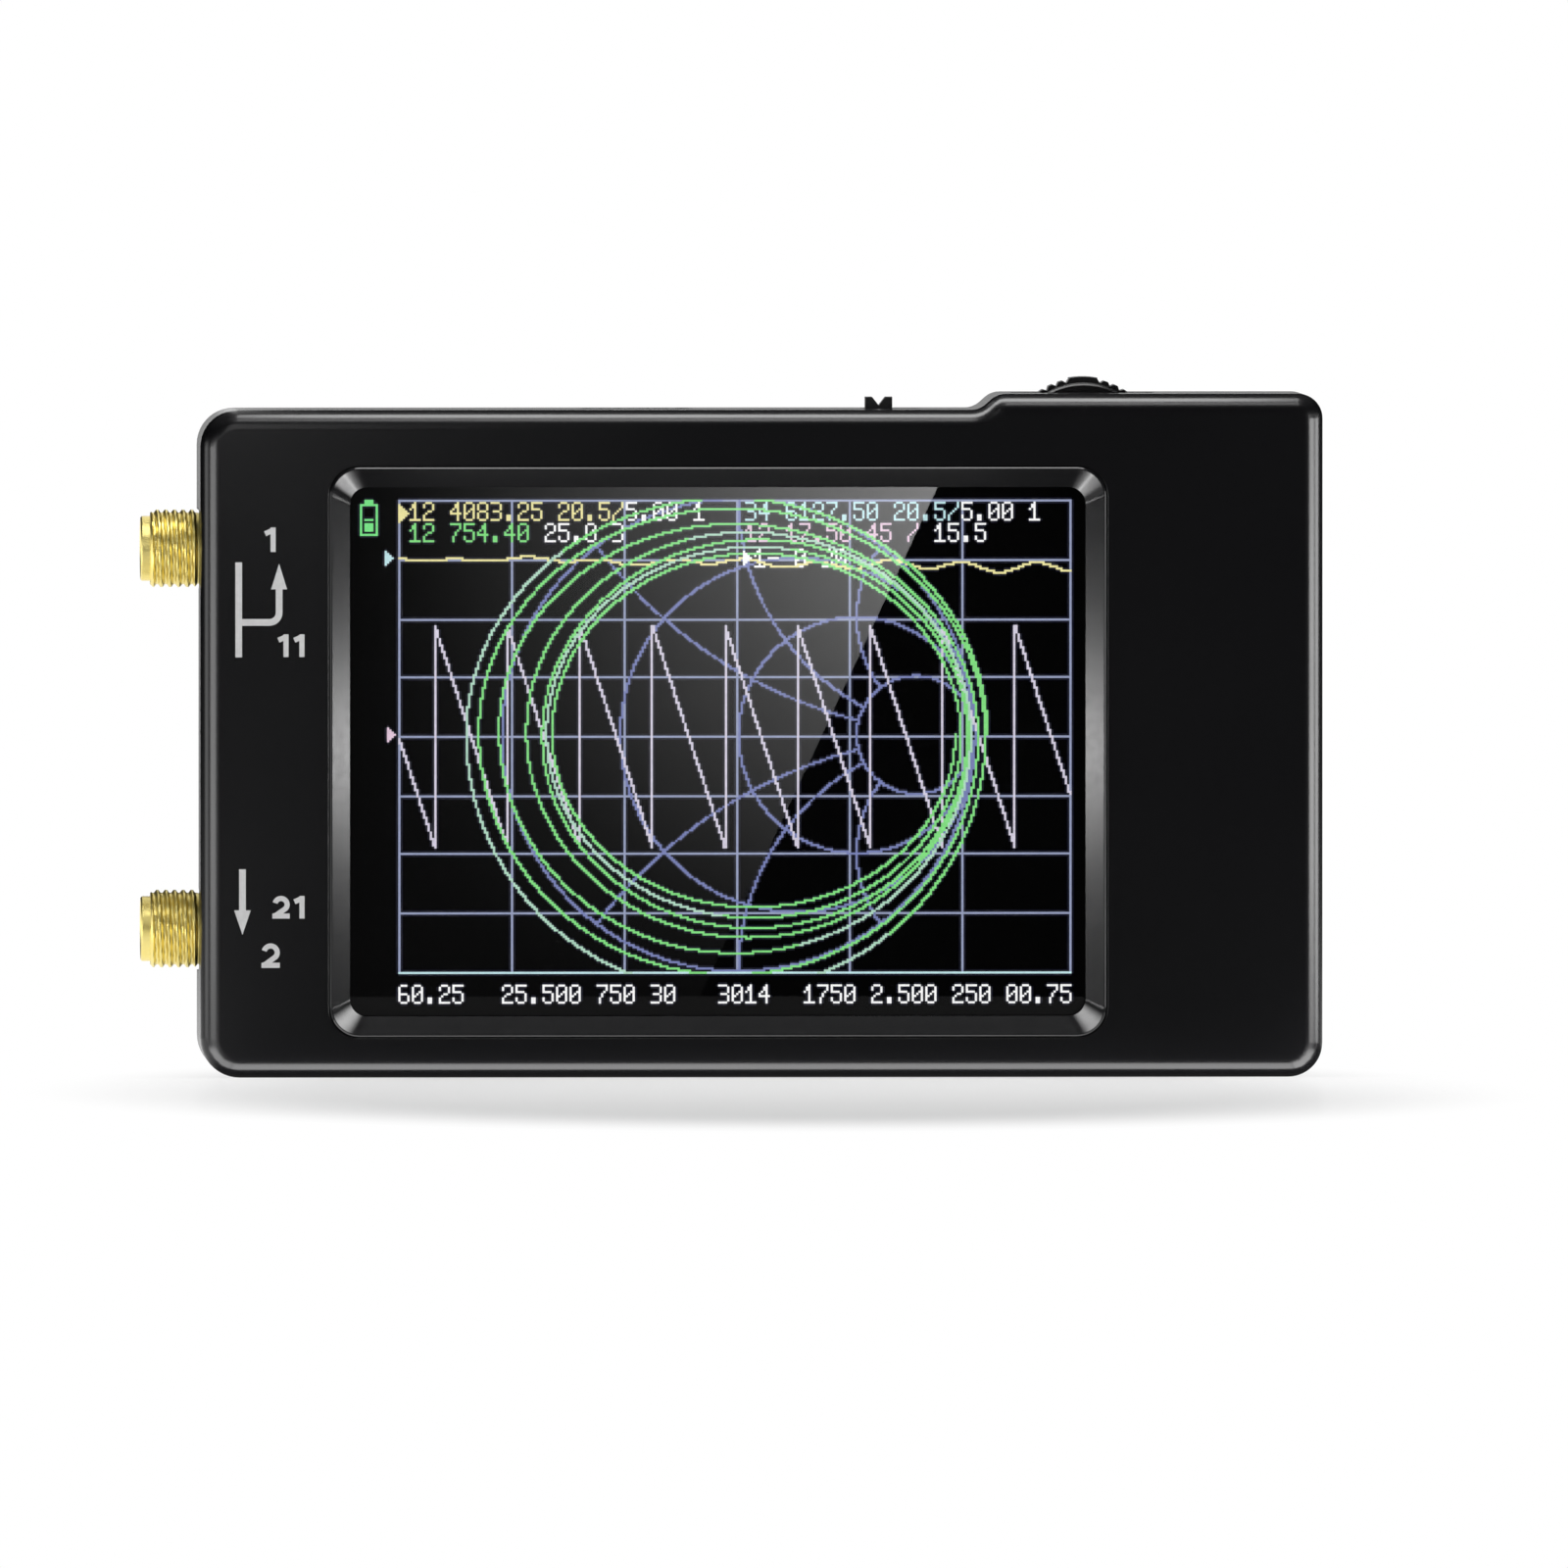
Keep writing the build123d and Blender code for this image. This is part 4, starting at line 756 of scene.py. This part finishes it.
def aimed_lamp(name, place, target, along, width, height, radiance):
    """A soft area lamp that faces its target, its width laid along the given direction; its
    power is radiance x pi x area."""
    lamp = bpy.data.lights.new(name, "AREA")
    lamp.shape = "RECTANGLE"
    lamp.size, lamp.size_y = width, height
    lamp.energy = radiance * math.pi * width * height
    holder = bpy.data.objects.new(name, lamp)
    bpy.context.scene.collection.objects.link(holder)
    holder.visible_camera = False
    holder.location = place
    facing = (place - target).normalized()
    across = (along - along.dot(facing) * facing).normalized()
    axes = Matrix((across, facing.cross(across), facing)).transposed()
    holder.rotation_mode = "QUATERNION"
    holder.rotation_quaternion = axes.to_quaternion()
    return holder


def fade_ends(holder):
    """Let a lamp's light swell from nothing at both ends to full in its middle."""
    tree = empty_tree(holder.data)
    place = add_node(tree, "NewGeometry").outputs["Parametric"]
    along = add_node(tree, "SeparateXYZ", {"Vector": place}).outputs["X"]
    off_middle = add_node(tree, "Math", {0: along, 1: 0.5}, operation="SUBTRACT")
    from_middle = add_node(tree, "Math", {0: off_middle}, operation="ABSOLUTE")
    ends = {"Value": from_middle, "From Min": 0.5, "From Max": 0.05}
    swell = add_node(tree, "MapRange", ends, interpolation_type="SMOOTHSTEP")
    add_node(tree, "OutputLight", {"Surface": add_node(tree, "Emission", {"Strength": swell})})


def light_only(node, holders):
    """Let the given lamps light nothing but one node, as masks set before them would."""
    lit = bpy.data.collections.new(f"lamps_for_{node}")
    lit.objects.link(frame["nodes"][node])
    for holder in holders:
        holder.light_linking.receiver_collection = lit


def edge_strips(look):
    """Two soft strips to each side, two above and a line at the foot. The near one of a pair is
    mirrored by the outer part of a rounded edge, the far one by its inner part. The sloping
    bezel mirrors the gap between them and stays dark."""
    middle = Vector((0.0, FRONT_Y, CASE_HIGH.z / 2))
    height = CASE_HIGH.z + 4 * MM
    turn, rise = math.tan(look.view_turn), math.tan(look.view_rise)
    gap, depth, far = look.near_gap, look.near_depth, look.lamp_distance
    near_y = FRONT_Y - look.near_shift
    for name, sign, near_radiance, far_radiance, angle, far_long in (
        ("left", -1, look.left_near, look.left_far, look.left_angle, look.left_length),
        ("right", 1, look.right_near, look.right_far, look.right_angle, look.right_length),
    ):
        aim = Vector((sign * HALF_WIDTH, near_y, height / 2))
        place = aim + sign * gap * SIDE
        aimed_lamp(f"{name}_near", place, aim, AHEAD, depth, height, near_radiance)
        way = sign * math.sin(angle) * SIDE + math.cos(angle) * AHEAD - rise * UP
        place = middle + far * way
        aimed_lamp(f"{name}_far", place, middle, AHEAD, far_long, look.far_width, far_radiance)
    aim = Vector((turn * gap, near_y, CASE_HIGH.z))
    aimed_lamp("top_near", aim + gap * UP, aim, SIDE, STRIP_LENGTH, depth, look.top_near)
    way = math.sin(look.top_angle) * UP + math.cos(look.top_angle) * AHEAD + turn * SIDE
    place = middle + far * way
    aimed_lamp("top_far", place, middle, SIDE, look.far_width, look.top_length, look.top_far)
    line_width = 2 * MM
    place = Vector((0.0, FRONT_Y - line_width / 2, LIFT))
    aimed_lamp("foot_line", place, place + UP, SIDE, STRIP_LENGTH, line_width, look.foot_radiance)


def corner_pads(look):
    """Pads on the table that carry the line at the foot on round the case's lower corners."""
    # Each pad's span outward from a line inside the case's side, and forward from the front,
    # in mm.
    inside = 3
    spans = ((0.8, 2.4, 0, 2.6), (2.4, 4.4, 0.3, 4.6), (4.4, 9, 0.9, 9))
    pads = []
    for name, sign, radiance in (
        ("left", -1, look.left_pad_radiance),
        ("right", 1, look.right_pad_radiance),
    ):
        for inner, outer, near, far in spans:
            out = HALF_WIDTH + ((inner + outer) / 2 - inside) * MM
            place = Vector((sign * out, FRONT_Y - (near + far) / 2 * MM, LIFT))
            width, depth = (outer - inner) * MM, (far - near) * MM
            pads.append(aimed_lamp(f"{name}_pad", place, place + UP, SIDE, width, depth, radiance))
    light_only("front_cover", pads)


def port_cards(look):
    """Two cards for the gold ports: one ahead and above, one behind and above."""
    between_ports, card_width = 28 * MM, 12 * MM
    ports = Vector((CASE_LOW.x - 1 * MM, 0.0, between_ports))
    for name, ahead, above, length, radiance in (
        ("card_front", 0.15, 0.064, 75 * MM, look.front_radiance),
        ("card_back", -0.064, 0.08, 120 * MM, look.back_radiance),
    ):
        place = ports + ahead * AHEAD + above * UP
        aimed_lamp(name, place, ports, SIDE, card_width, length, radiance)


def bezel_lamps(look):
    """Lamps that the sloping bezel alone mirrors: a small one to each side for the middle of
    its sides, and long panels for its corners. The high ones are mirrored by the lower corners,
    the low ones, tipped away from the front face, by the upper corners."""
    turn, rise, reach = look.view_turn, look.view_rise, look.accent_distance
    bezel_middle, half_bezel, corner_drop = 27 * MM, 31 * MM, 22 * MM
    centre = Vector(((BEZEL_LOW.x + BEZEL_HIGH.x) / 2, FRONT_Y, bezel_middle))
    lamps = []
    for sign in (-1, 1):
        azimuth = sign * (look.bezel_mirror_angle + look.accent_shift) + turn
        way = math.sin(azimuth) * SIDE + math.cos(azimuth) * AHEAD - math.tan(rise) * UP
        aim = centre - sign * half_bezel * SIDE
        size = look.accent_length, look.accent_height, look.accent_radiance
        lamps.append(aimed_lamp(f"accent_{sign + 1}", aim + reach * way, aim, AHEAD, *size))
    # Directions and place for the right-hand panels; the left-hand ones mirror them.
    high_way, low_way, low_along = (0.646, -0.405, 0.646), (-0.164, -0.549, 0.819), (0.958, -0.286)
    low_out, low_ahead, low_drop = 20 * MM, 27.5 * MM, 19 * MM
    for sign in (-1, 1):
        aim = centre - sign * half_bezel * SIDE - corner_drop * UP
        across, forward, upward = high_way
        way = Vector((sign * across + math.sin(turn), forward, upward - math.sin(rise)))
        along = Vector((-sign, 0.0, 1.0))
        size = look.high_panel_length, look.high_panel_width, look.high_panel_radiance
        high = aimed_lamp(f"corner_high_{sign + 1}", aim + reach * way, aim, along, *size)
        place = centre + Vector((sign * low_out, -low_ahead, -low_drop))
        target = place + Vector((sign * low_way[0], low_way[1], low_way[2]))
        along = Vector((sign * low_along[0], low_along[1], 0.0))
        size = look.low_panel_length, look.low_panel_width, look.low_panel_radiance
        low = aimed_lamp(f"corner_low_{sign + 1}", place, target, along, *size)
        for panel in (high, low):
            fade_ends(panel)
            lamps.append(panel)
    light_only("screen_bezel", lamps)


def ray_kinds(tree):
    """Two switches: one is 1 for what the camera sees, one for what mirrors and glass see."""
    rays = add_node(tree, "LightPath").outputs
    kinds = {0: rays["Is Glossy Ray"], 1: rays["Is Transmission Ray"]}
    return rays["Is Camera Ray"], add_node(tree, "Math", kinds, operation="MAXIMUM")


def studio_world(look):
    """White to the eye; mirrors and glass see black flags with a white backdrop straight
    behind the part and a dim room above, and matt surfaces get a weak even grey."""
    world = bpy.data.worlds.new("studio")
    bpy.context.scene.world = world
    tree = empty_tree(world)
    direction = add_node(tree, "TexCoord").outputs["Object"]
    axes = add_node(tree, "SeparateXYZ", {"Vector": direction}).outputs
    # The flags leave 6 degrees of the white backdrop free, so that the outline stays dark.
    behind = {"Value": axes["Y"], "From Min": 0.985, "From Max": 0.995}
    backdrop = add_node(tree, "MapRange", behind, interpolation_type="SMOOTHSTEP")
    above = {
        "Value": add_node(tree, "Math", {0: axes["Z"]}, operation="ABSOLUTE"),
        "From Min": 0.45,
        "From Max": 0.95,
        "To Min": look.flag_level,
        "To Max": look.room_level,
    }
    room = add_node(tree, "MapRange", above, interpolation_type="SMOOTHSTEP")
    level = add_node(tree, "Math", {0: backdrop, 1: room}, operation="MAXIMUM")
    ambient, mirrored, white = (
        add_node(tree, "Background", {"Color": WHITE_LIGHT, "Strength": strength})
        for strength in (look.ambient, level, 1.0)
    )
    camera_ray, glassy = ray_kinds(tree)
    soft = add_node(tree, "MixShader", {0: glassy, 1: ambient, 2: mirrored})
    seen = add_node(tree, "MixShader", {0: camera_ray, 1: soft, 2: white})
    add_node(tree, "OutputWorld", {"Surface": seen})


def pale_floor(look):
    """Pale satin table: matt white with a weak soft mirror, melting into the white round its
    rim so that no edge shows. Mirrors see a dark patch painted into it before the part."""
    material = bpy.data.materials.new("pale satin table")
    tree = empty_tree(material)
    matt = add_node(tree, "BsdfDiffuse", {"Color": linear("#f0f0f0")})
    gloss = {"Color": WHITE_LIGHT, "Roughness": look.floor_roughness}
    mirror = add_node(tree, "BsdfGlossy", gloss)
    table = add_node(tree, "MixShader", {0: look.floor_mirror, 1: matt, 2: mirror})
    camera_ray, glassy = ray_kinds(tree)
    place = add_node(tree, "TexCoord").outputs["Object"]
    axes = add_node(tree, "SeparateXYZ", {"Vector": place}).outputs
    # Mirrors see the table before the part dimmed to a dark level: a painted dark patch that no
    # camera ray sees, so that the part's face stays black; the table behind it and beside the ports
    # is white.
    ramps = (
        {"Value": axes["Y"], "From Min": -FRONT_Y, "From Max": 2 * MM - FRONT_Y},
        {"Value": axes["X"], "From Min": CASE_LOW.x + 1 * MM, "From Max": CASE_LOW.x - 2 * MM},
    )
    painted_dark_patch = {"To Min": look.painted_dark_level}
    behind, beside = (add_node(tree, "MapRange", {**ramp, **painted_dark_patch}) for ramp in ramps)
    bright = add_node(tree, "Math", {0: behind, 1: beside}, operation="MAXIMUM")
    level = add_node(tree, "Math", {0: bright, 1: camera_ray}, operation="MAXIMUM")
    white = add_node(tree, "Emission", {"Color": WHITE_LIGHT, "Strength": level})
    # Ellipse round the part: 60 mm to the sides, 60 mm behind and 160 mm in front.
    ellipse = {"Vector": place, "Location": (0.0, 0.45, 0.0), "Scale": (16.0, 9.0, 9.0)}
    centred = add_node(tree, "Mapping", ellipse)
    reach = add_node(tree, "VectorMath", {0: centred}, operation="LENGTH").outputs["Value"]
    melt = {"Value": reach, "From Min": 0.55, "From Max": 1.0, "To Min": look.floor_lift}
    rim = add_node(tree, "MapRange", melt, interpolation_type="SMOOTHSTEP")
    # The eye sees white melt in towards the rim; a mirror or glass sees only the white.
    eye = add_node(tree, "Math", {0: rim, 1: camera_ray}, operation="MULTIPLY")
    share = add_node(tree, "Math", {0: eye, 1: glassy}, operation="MAXIMUM")
    shown = add_node(tree, "MixShader", {0: share, 1: table, 2: white})
    add_node(tree, "OutputMaterial", {"Surface": shown})
    # A flat disc: ring radii grow evenly, angles go once round.
    rings, spokes = 11, 64
    ring = np.linspace(0.0, look.floor_radius, rings + 1)[1:, None]
    turn = np.linspace(0, math.tau, spokes, endpoint=False)
    x, y = ring * np.cos(turn), ring * np.sin(turn)
    points = np.stack([x, y, np.zeros_like(x)], axis=-1)
    faces = grid_faces(rings, spokes, False, True).tolist() + [list(range(spokes))]
    floor = new_object("floor", points, faces, [material])


def glare_card(look, camera_place):
    """A glowing card far in front that the glass mirrors as a glare: its outline is the wanted
    patch of the window, left of a slanted edge, carried along the mirrored lines of sight. Its
    light is a gradient painted into its own emission, brightest at its upper right corner; nothing
    lights it."""
    steps = 24
    u, v = np.meshgrid(np.linspace(0, 1, steps), np.linspace(0, 1, steps), indexing="ij")
    z = BEZEL_LOW.z + v * (BEZEL_HIGH.z - BEZEL_LOW.z)
    edge_x = look.glare_foot + v * (look.glare_head - look.glare_foot)
    x = BEZEL_LOW.x + u * (edge_x - BEZEL_LOW.x)
    share = (look.glare_distance + GLASS_LOW.y) / (-camera_place.y + GLASS_LOW.y)
    card_x = x + (x - camera_place.x) * share
    card_z = z + (z - camera_place.z) * share
    points = np.stack([card_x, np.full_like(card_x, -look.glare_distance), card_z], axis=-1)
    # The card's light is painted: a gradient in its own emission stands in for a reflector card lit
    # from one corner.
    material = bpy.data.materials.new("painted glare card")
    tree = empty_tree(material)
    light = add_node(tree, "Attribute", attribute_name="card_light").outputs["Fac"]
    level = add_node(tree, "Math", {0: light, 1: look.glare_radiance}, operation="MULTIPLY")
    glow = add_node(tree, "Emission", {"Strength": level})
    add_node(tree, "OutputMaterial", {"Surface": glow})
    card = new_object("painted_glare_card", points, grid_faces(steps, steps), [material])
    # The card's glow is a gradient painted into its emission, brightest at its upper right corner:
    # brightness is u^2.1 x v^2.4.
    layer = card.data.attributes.new("card_light", "FLOAT", "POINT")
    layer.data.foreach_set("value", (u**2.1 * v**2.4 + 0.01).ravel().astype(np.float32))
    card.visible_camera = False
    card.visible_diffuse = False
    card.visible_shadow = False


def set_camera(look):
    """A long lens far in front, a little left of the part and above it."""
    turn, rise, distance = look.view_turn, look.view_rise, look.camera_distance
    flat = math.cos(rise)
    back = Vector((-math.sin(turn) * flat, -math.cos(turn) * flat, math.sin(rise)))
    data = bpy.data.cameras.new("camera")
    data.sensor_width = 36.0
    data.lens = data.sensor_width * distance / look.view_width
    data.clip_end = 4 * distance
    camera = bpy.data.objects.new("camera", data)
    bpy.context.scene.collection.objects.link(camera)
    camera.location = Vector((look.aim_x, FRONT_Y, look.aim_z)) + back * distance
    camera.rotation_mode = "QUATERNION"
    camera.rotation_quaternion = (-back).to_track_quat("-Z", "Y")
    bpy.context.scene.camera = camera
    return camera


class ANALYZER_OT_studio(bpy.types.Operator):
    """Set up the floor, the soft lamps, the white surround and the camera"""

    bl_idname = "analyzer.studio"
    bl_label = "Studio"

    def execute(self, context):
        look = context.scene.analyzer_studio
        camera = set_camera(look)
        edge_strips(look)
        corner_pads(look)
        port_cards(look)
        bezel_lamps(look)
        studio_world(look)
        pale_floor(look)
        glare_card(look, camera.location)
        context.scene.view_settings.view_transform = "Standard"
        return {"FINISHED"}


# ------------------------------------------------------------------ sizes and colours to change
def length(name, description, default):
    """A length property in metres, shown in the scene's unit."""
    return bpy.props.FloatProperty(
        name=name, description=description, default=default, unit="LENGTH", precision=5
    )


def angle(name, description, degrees):
    """An angle property that starts at the given degrees."""
    return bpy.props.FloatProperty(
        name=name, description=description, default=math.radians(degrees), subtype="ANGLE"
    )


def level(name, description, default, **limits):
    """A property for a brightness or a share, never negative."""
    return bpy.props.FloatProperty(
        name=name, description=description, default=default, min=0.0, **limits
    )


def shade(name, description, default):
    """A colour property written as an sRGB hex value."""
    return bpy.props.StringProperty(name=name, description=description, default=default)


class AnalyzerFinish(bpy.types.PropertyGroup):
    case_roughness: level("Case roughness", "Roughness of the satin case", 0.25, max=1.0)


class AnalyzerPorts(bpy.types.PropertyGroup):
    thread_pitch: length("Thread pitch", "Advance of the port thread per turn", 0.7056 * MM)
    thread_depth: length("Thread depth", "Height of the thread from root to crest", 0.24 * MM)
    bore_radius: length("Bore radius", "Radius of the port's bore", 2.3 * MM)
    bore_depth: length("Bore depth", "Depth of the bore down to the insulator", 1.9 * MM)


class AnalyzerScreen(bpy.types.PropertyGroup):
    picture_width: length("Picture width", "Width of the lit area", 58.9 * MM)
    picture_height: length("Picture height", "Height of the lit area", 41.7 * MM)
    side_margin: length("Side margin", "From the panel's left edge to the lit area", 3.5 * MM)
    top_margin: length("Top margin", "From the panel's top edge to the lit area", 2.7 * MM)
    layer_gap: length("Layer gap", "Lit elements in front of the panel", 0.02 * MM)
    brightness: level("Brightness", "Strength of the lit elements", 1.0)
    glow_colour: shade("Glow", "Light leak beside lit elements", "#07081a")
    grid_colour: shade("Grid", "Grid lines", "#98a1c0")
    chart_colour: shade("Chart", "Circular chart", "#7a83b8")
    phase_colour: shade("Phase", "Saw-tooth trace", "#d9d3e4")
    loops_colour: shade("Loops", "Looping trace", "#84e284")
    pale_colour: shade("Pale loops", "Paler stretches of the looping trace", "#b4dcc6")
    level_colour: shade("Level", "Rippled trace and first numbers", "#f0e8a4")
    cyan_colour: shade("Cyan", "Third numbers", "#c6eaee")
    pink_colour: shade("Pink", "Fourth numbers", "#e6cadd")
    charge_colour: shade("Charge", "Battery sign", "#7be88a")


class AnalyzerMarks(bpy.types.PropertyGroup):
    ink_colour: shade("Ink", "Printed marks", "#dcdcdc")
    layer_height: length("Ink height", "Ink above the case", 0.01 * MM)
    line_width: length("Line width", "Bars and arrow shafts", 0.55 * MM)
    number_height: length("Port number height", "Height of the port numbers", 2.0 * MM)
    label_height: length("Label height", "Height of the small labels", 1.85 * MM)
    figure_width: length("Figure width", "Stroke of the numerals", 0.42 * MM)


class AnalyzerStudio(bpy.types.PropertyGroup):
    camera_distance: length("Camera distance", "From the front face to the camera", 4.0)
    view_width: length("View width", "Width of the view at the front face", 128 * MM)
    aim_x: length("Aim X", "Point that the camera looks at", 1.78 * MM)
    aim_z: length("Aim Z", "Point that the camera looks at", 23.98 * MM)
    view_turn: angle("View turn", "Camera to the left of the front", 1.9)
    view_rise: angle("View rise", "Camera above the horizon", 1.3)
    near_gap: length("Near strip gap", "From the part's side to each near strip", 60 * MM)
    near_depth: length("Near strip depth", "Size of the near strips from front to back", 28 * MM)
    near_shift: length("Near strip shift", "Middle of the near strips before the front", 7 * MM)
    lamp_distance: length("Lamp distance", "From the part to each far strip", 0.8)
    left_angle: angle("Left angle", "Middle of the far left strip off the front", 39.0)
    right_angle: angle("Right angle", "Middle of the far right strip off the front", 49.0)
    left_length: length("Left length", "Length of the far left strip", 0.53)
    right_length: length("Right length", "Length of the far right strip", 0.44)
    far_width: length("Far strip width", "Height of the far strips", 0.12)
    left_near: level("Near left", "Radiance of the near left strip", 2.0)
    left_far: level("Far left", "Radiance of the far left strip", 7.5)
    right_near: level("Near right", "Radiance of the near right strip", 7.5)
    right_far: level("Far right", "Radiance of the far right strip", 14.0)
    top_near: level("Near top", "Radiance of the near top strip", 9.0)
    top_far: level("Far top", "Radiance of the far top strip", 6.0)
    top_angle: angle("Top angle", "Middle of the far top strip off the front", 56.0)
    top_length: length("Top length", "Length of the far top strip", 0.2)
    foot_radiance: level("Foot", "Radiance of the line of light at the foot", 5.5)
    left_pad_radiance: level("Left pads", "Radiance of the pads at the lower left corner", 5.0)
    right_pad_radiance: level("Right pads", "Radiance of the pads at the lower right corner", 7.0)
    front_radiance: level("Front card", "Radiance of the card before the ports", 3.4)
    back_radiance: level("Back card", "Radiance of the card behind the ports", 1.3)
    bezel_mirror_angle: angle("Bezel mirror angle", "Twice the slope of the bezel", 74.3)
    accent_shift: angle("Accent shift", "Small side lamps beyond the mirrored line", 3.2)
    accent_distance: length("Accent distance", "From the bezel to its small lamps", 0.25)
    accent_length: length("Accent length", "Length of the two small side lamps", 40 * MM)
    accent_height: length("Accent height", "Height of the two small side lamps", 9 * MM)
    accent_radiance: level("Accents", "Radiance of the small side lamps", 34.0)
    high_panel_length: length("High panel length", "Panels for the lower corners", 300 * MM)
    high_panel_width: length("High panel width", "Panels for the lower corners", 28 * MM)
    high_panel_radiance: level("High panels", "Radiance of the high panels", 22.0)
    low_panel_length: length("Low panel length", "Panels for the upper corners", 100 * MM)
    low_panel_width: length("Low panel width", "Panels for the upper corners", 10 * MM)
    low_panel_radiance: level("Low panels", "Radiance of the low panels", 19.0)
    room_level: level("Room", "Mirrored room above", 0.15)
    flag_level: level("Flags", "Mirrored black flags round the part", 0.01)
    # Level of the dark patch painted into the table for mirrors before the part; no cloth lies
    # there.
    painted_dark_level: level("Cloth", "Mirrored black cloth before the part", 0.1)
    ambient: level("Ambient", "Even grey light", 0.14)
    floor_radius: length("Floor radius", "Radius of the table", 0.25)
    floor_mirror: level("Floor mirror", "Share of mirror in the table", 0.12)
    floor_roughness: level("Floor roughness", "Blur of the table's mirror", 0.12)
    floor_lift: level("Floor white", "Share of white near the part", 0.42)
    # The glare card glows with a painted gradient of light; it reflects nothing.
    glare_distance: length("Card distance", "Reflector card in front of the glass", 2.0)
    glare_head: length("Glare head", "Slanted edge of the glare at the bezel's top", 15.2 * MM)
    glare_foot: length("Glare foot", "Slanted edge of the glare at the bezel's foot", -6.5 * MM)
    glare_radiance: level("Card radiance", "Brightest point of the reflector card", 3.0)


class ANALYZER_PT_looks(bpy.types.Panel):
    bl_idname = "ANALYZER_PT_looks"
    bl_label = "Analyzer looks"
    bl_space_type = "VIEW_3D"
    bl_region_type = "UI"
    bl_category = "Analyzer"

    def draw(self, context):
        for operator in OPERATORS:
            self.layout.operator(operator.bl_idname)
        for group in GROUPS:
            settings = getattr(context.scene, group)
            box = self.layout.box()
            for name in settings.bl_rna.properties.keys():
                if name not in ("rna_type", "name"):
                    box.prop(settings, name)


OPERATORS = (
    ANALYZER_OT_finish_nodes,
    ANALYZER_OT_port_barrels,
    ANALYZER_OT_display,
    ANALYZER_OT_marks,
    ANALYZER_OT_studio,
)
GROUPS = {
    "analyzer_finish": AnalyzerFinish,
    "analyzer_ports": AnalyzerPorts,
    "analyzer_screen": AnalyzerScreen,
    "analyzer_marks": AnalyzerMarks,
    "analyzer_studio": AnalyzerStudio,
}


def register():
    for name, group in GROUPS.items():
        bpy.utils.register_class(group)
        setattr(bpy.types.Scene, name, bpy.props.PointerProperty(type=group))
    for operator in OPERATORS:
        bpy.utils.register_class(operator)
    bpy.utils.register_class(ANALYZER_PT_looks)


def unregister():
    bpy.utils.unregister_class(ANALYZER_PT_looks)
    for operator in reversed(OPERATORS):
        bpy.utils.unregister_class(operator)
    for name, group in GROUPS.items():
        delattr(bpy.types.Scene, name)
        bpy.utils.unregister_class(group)


def main():
    register()
    for operator in OPERATORS:
        group, action = operator.bl_idname.split(".")
        getattr(getattr(bpy.ops, group), action)()


if __name__ == "__main__":
    main()
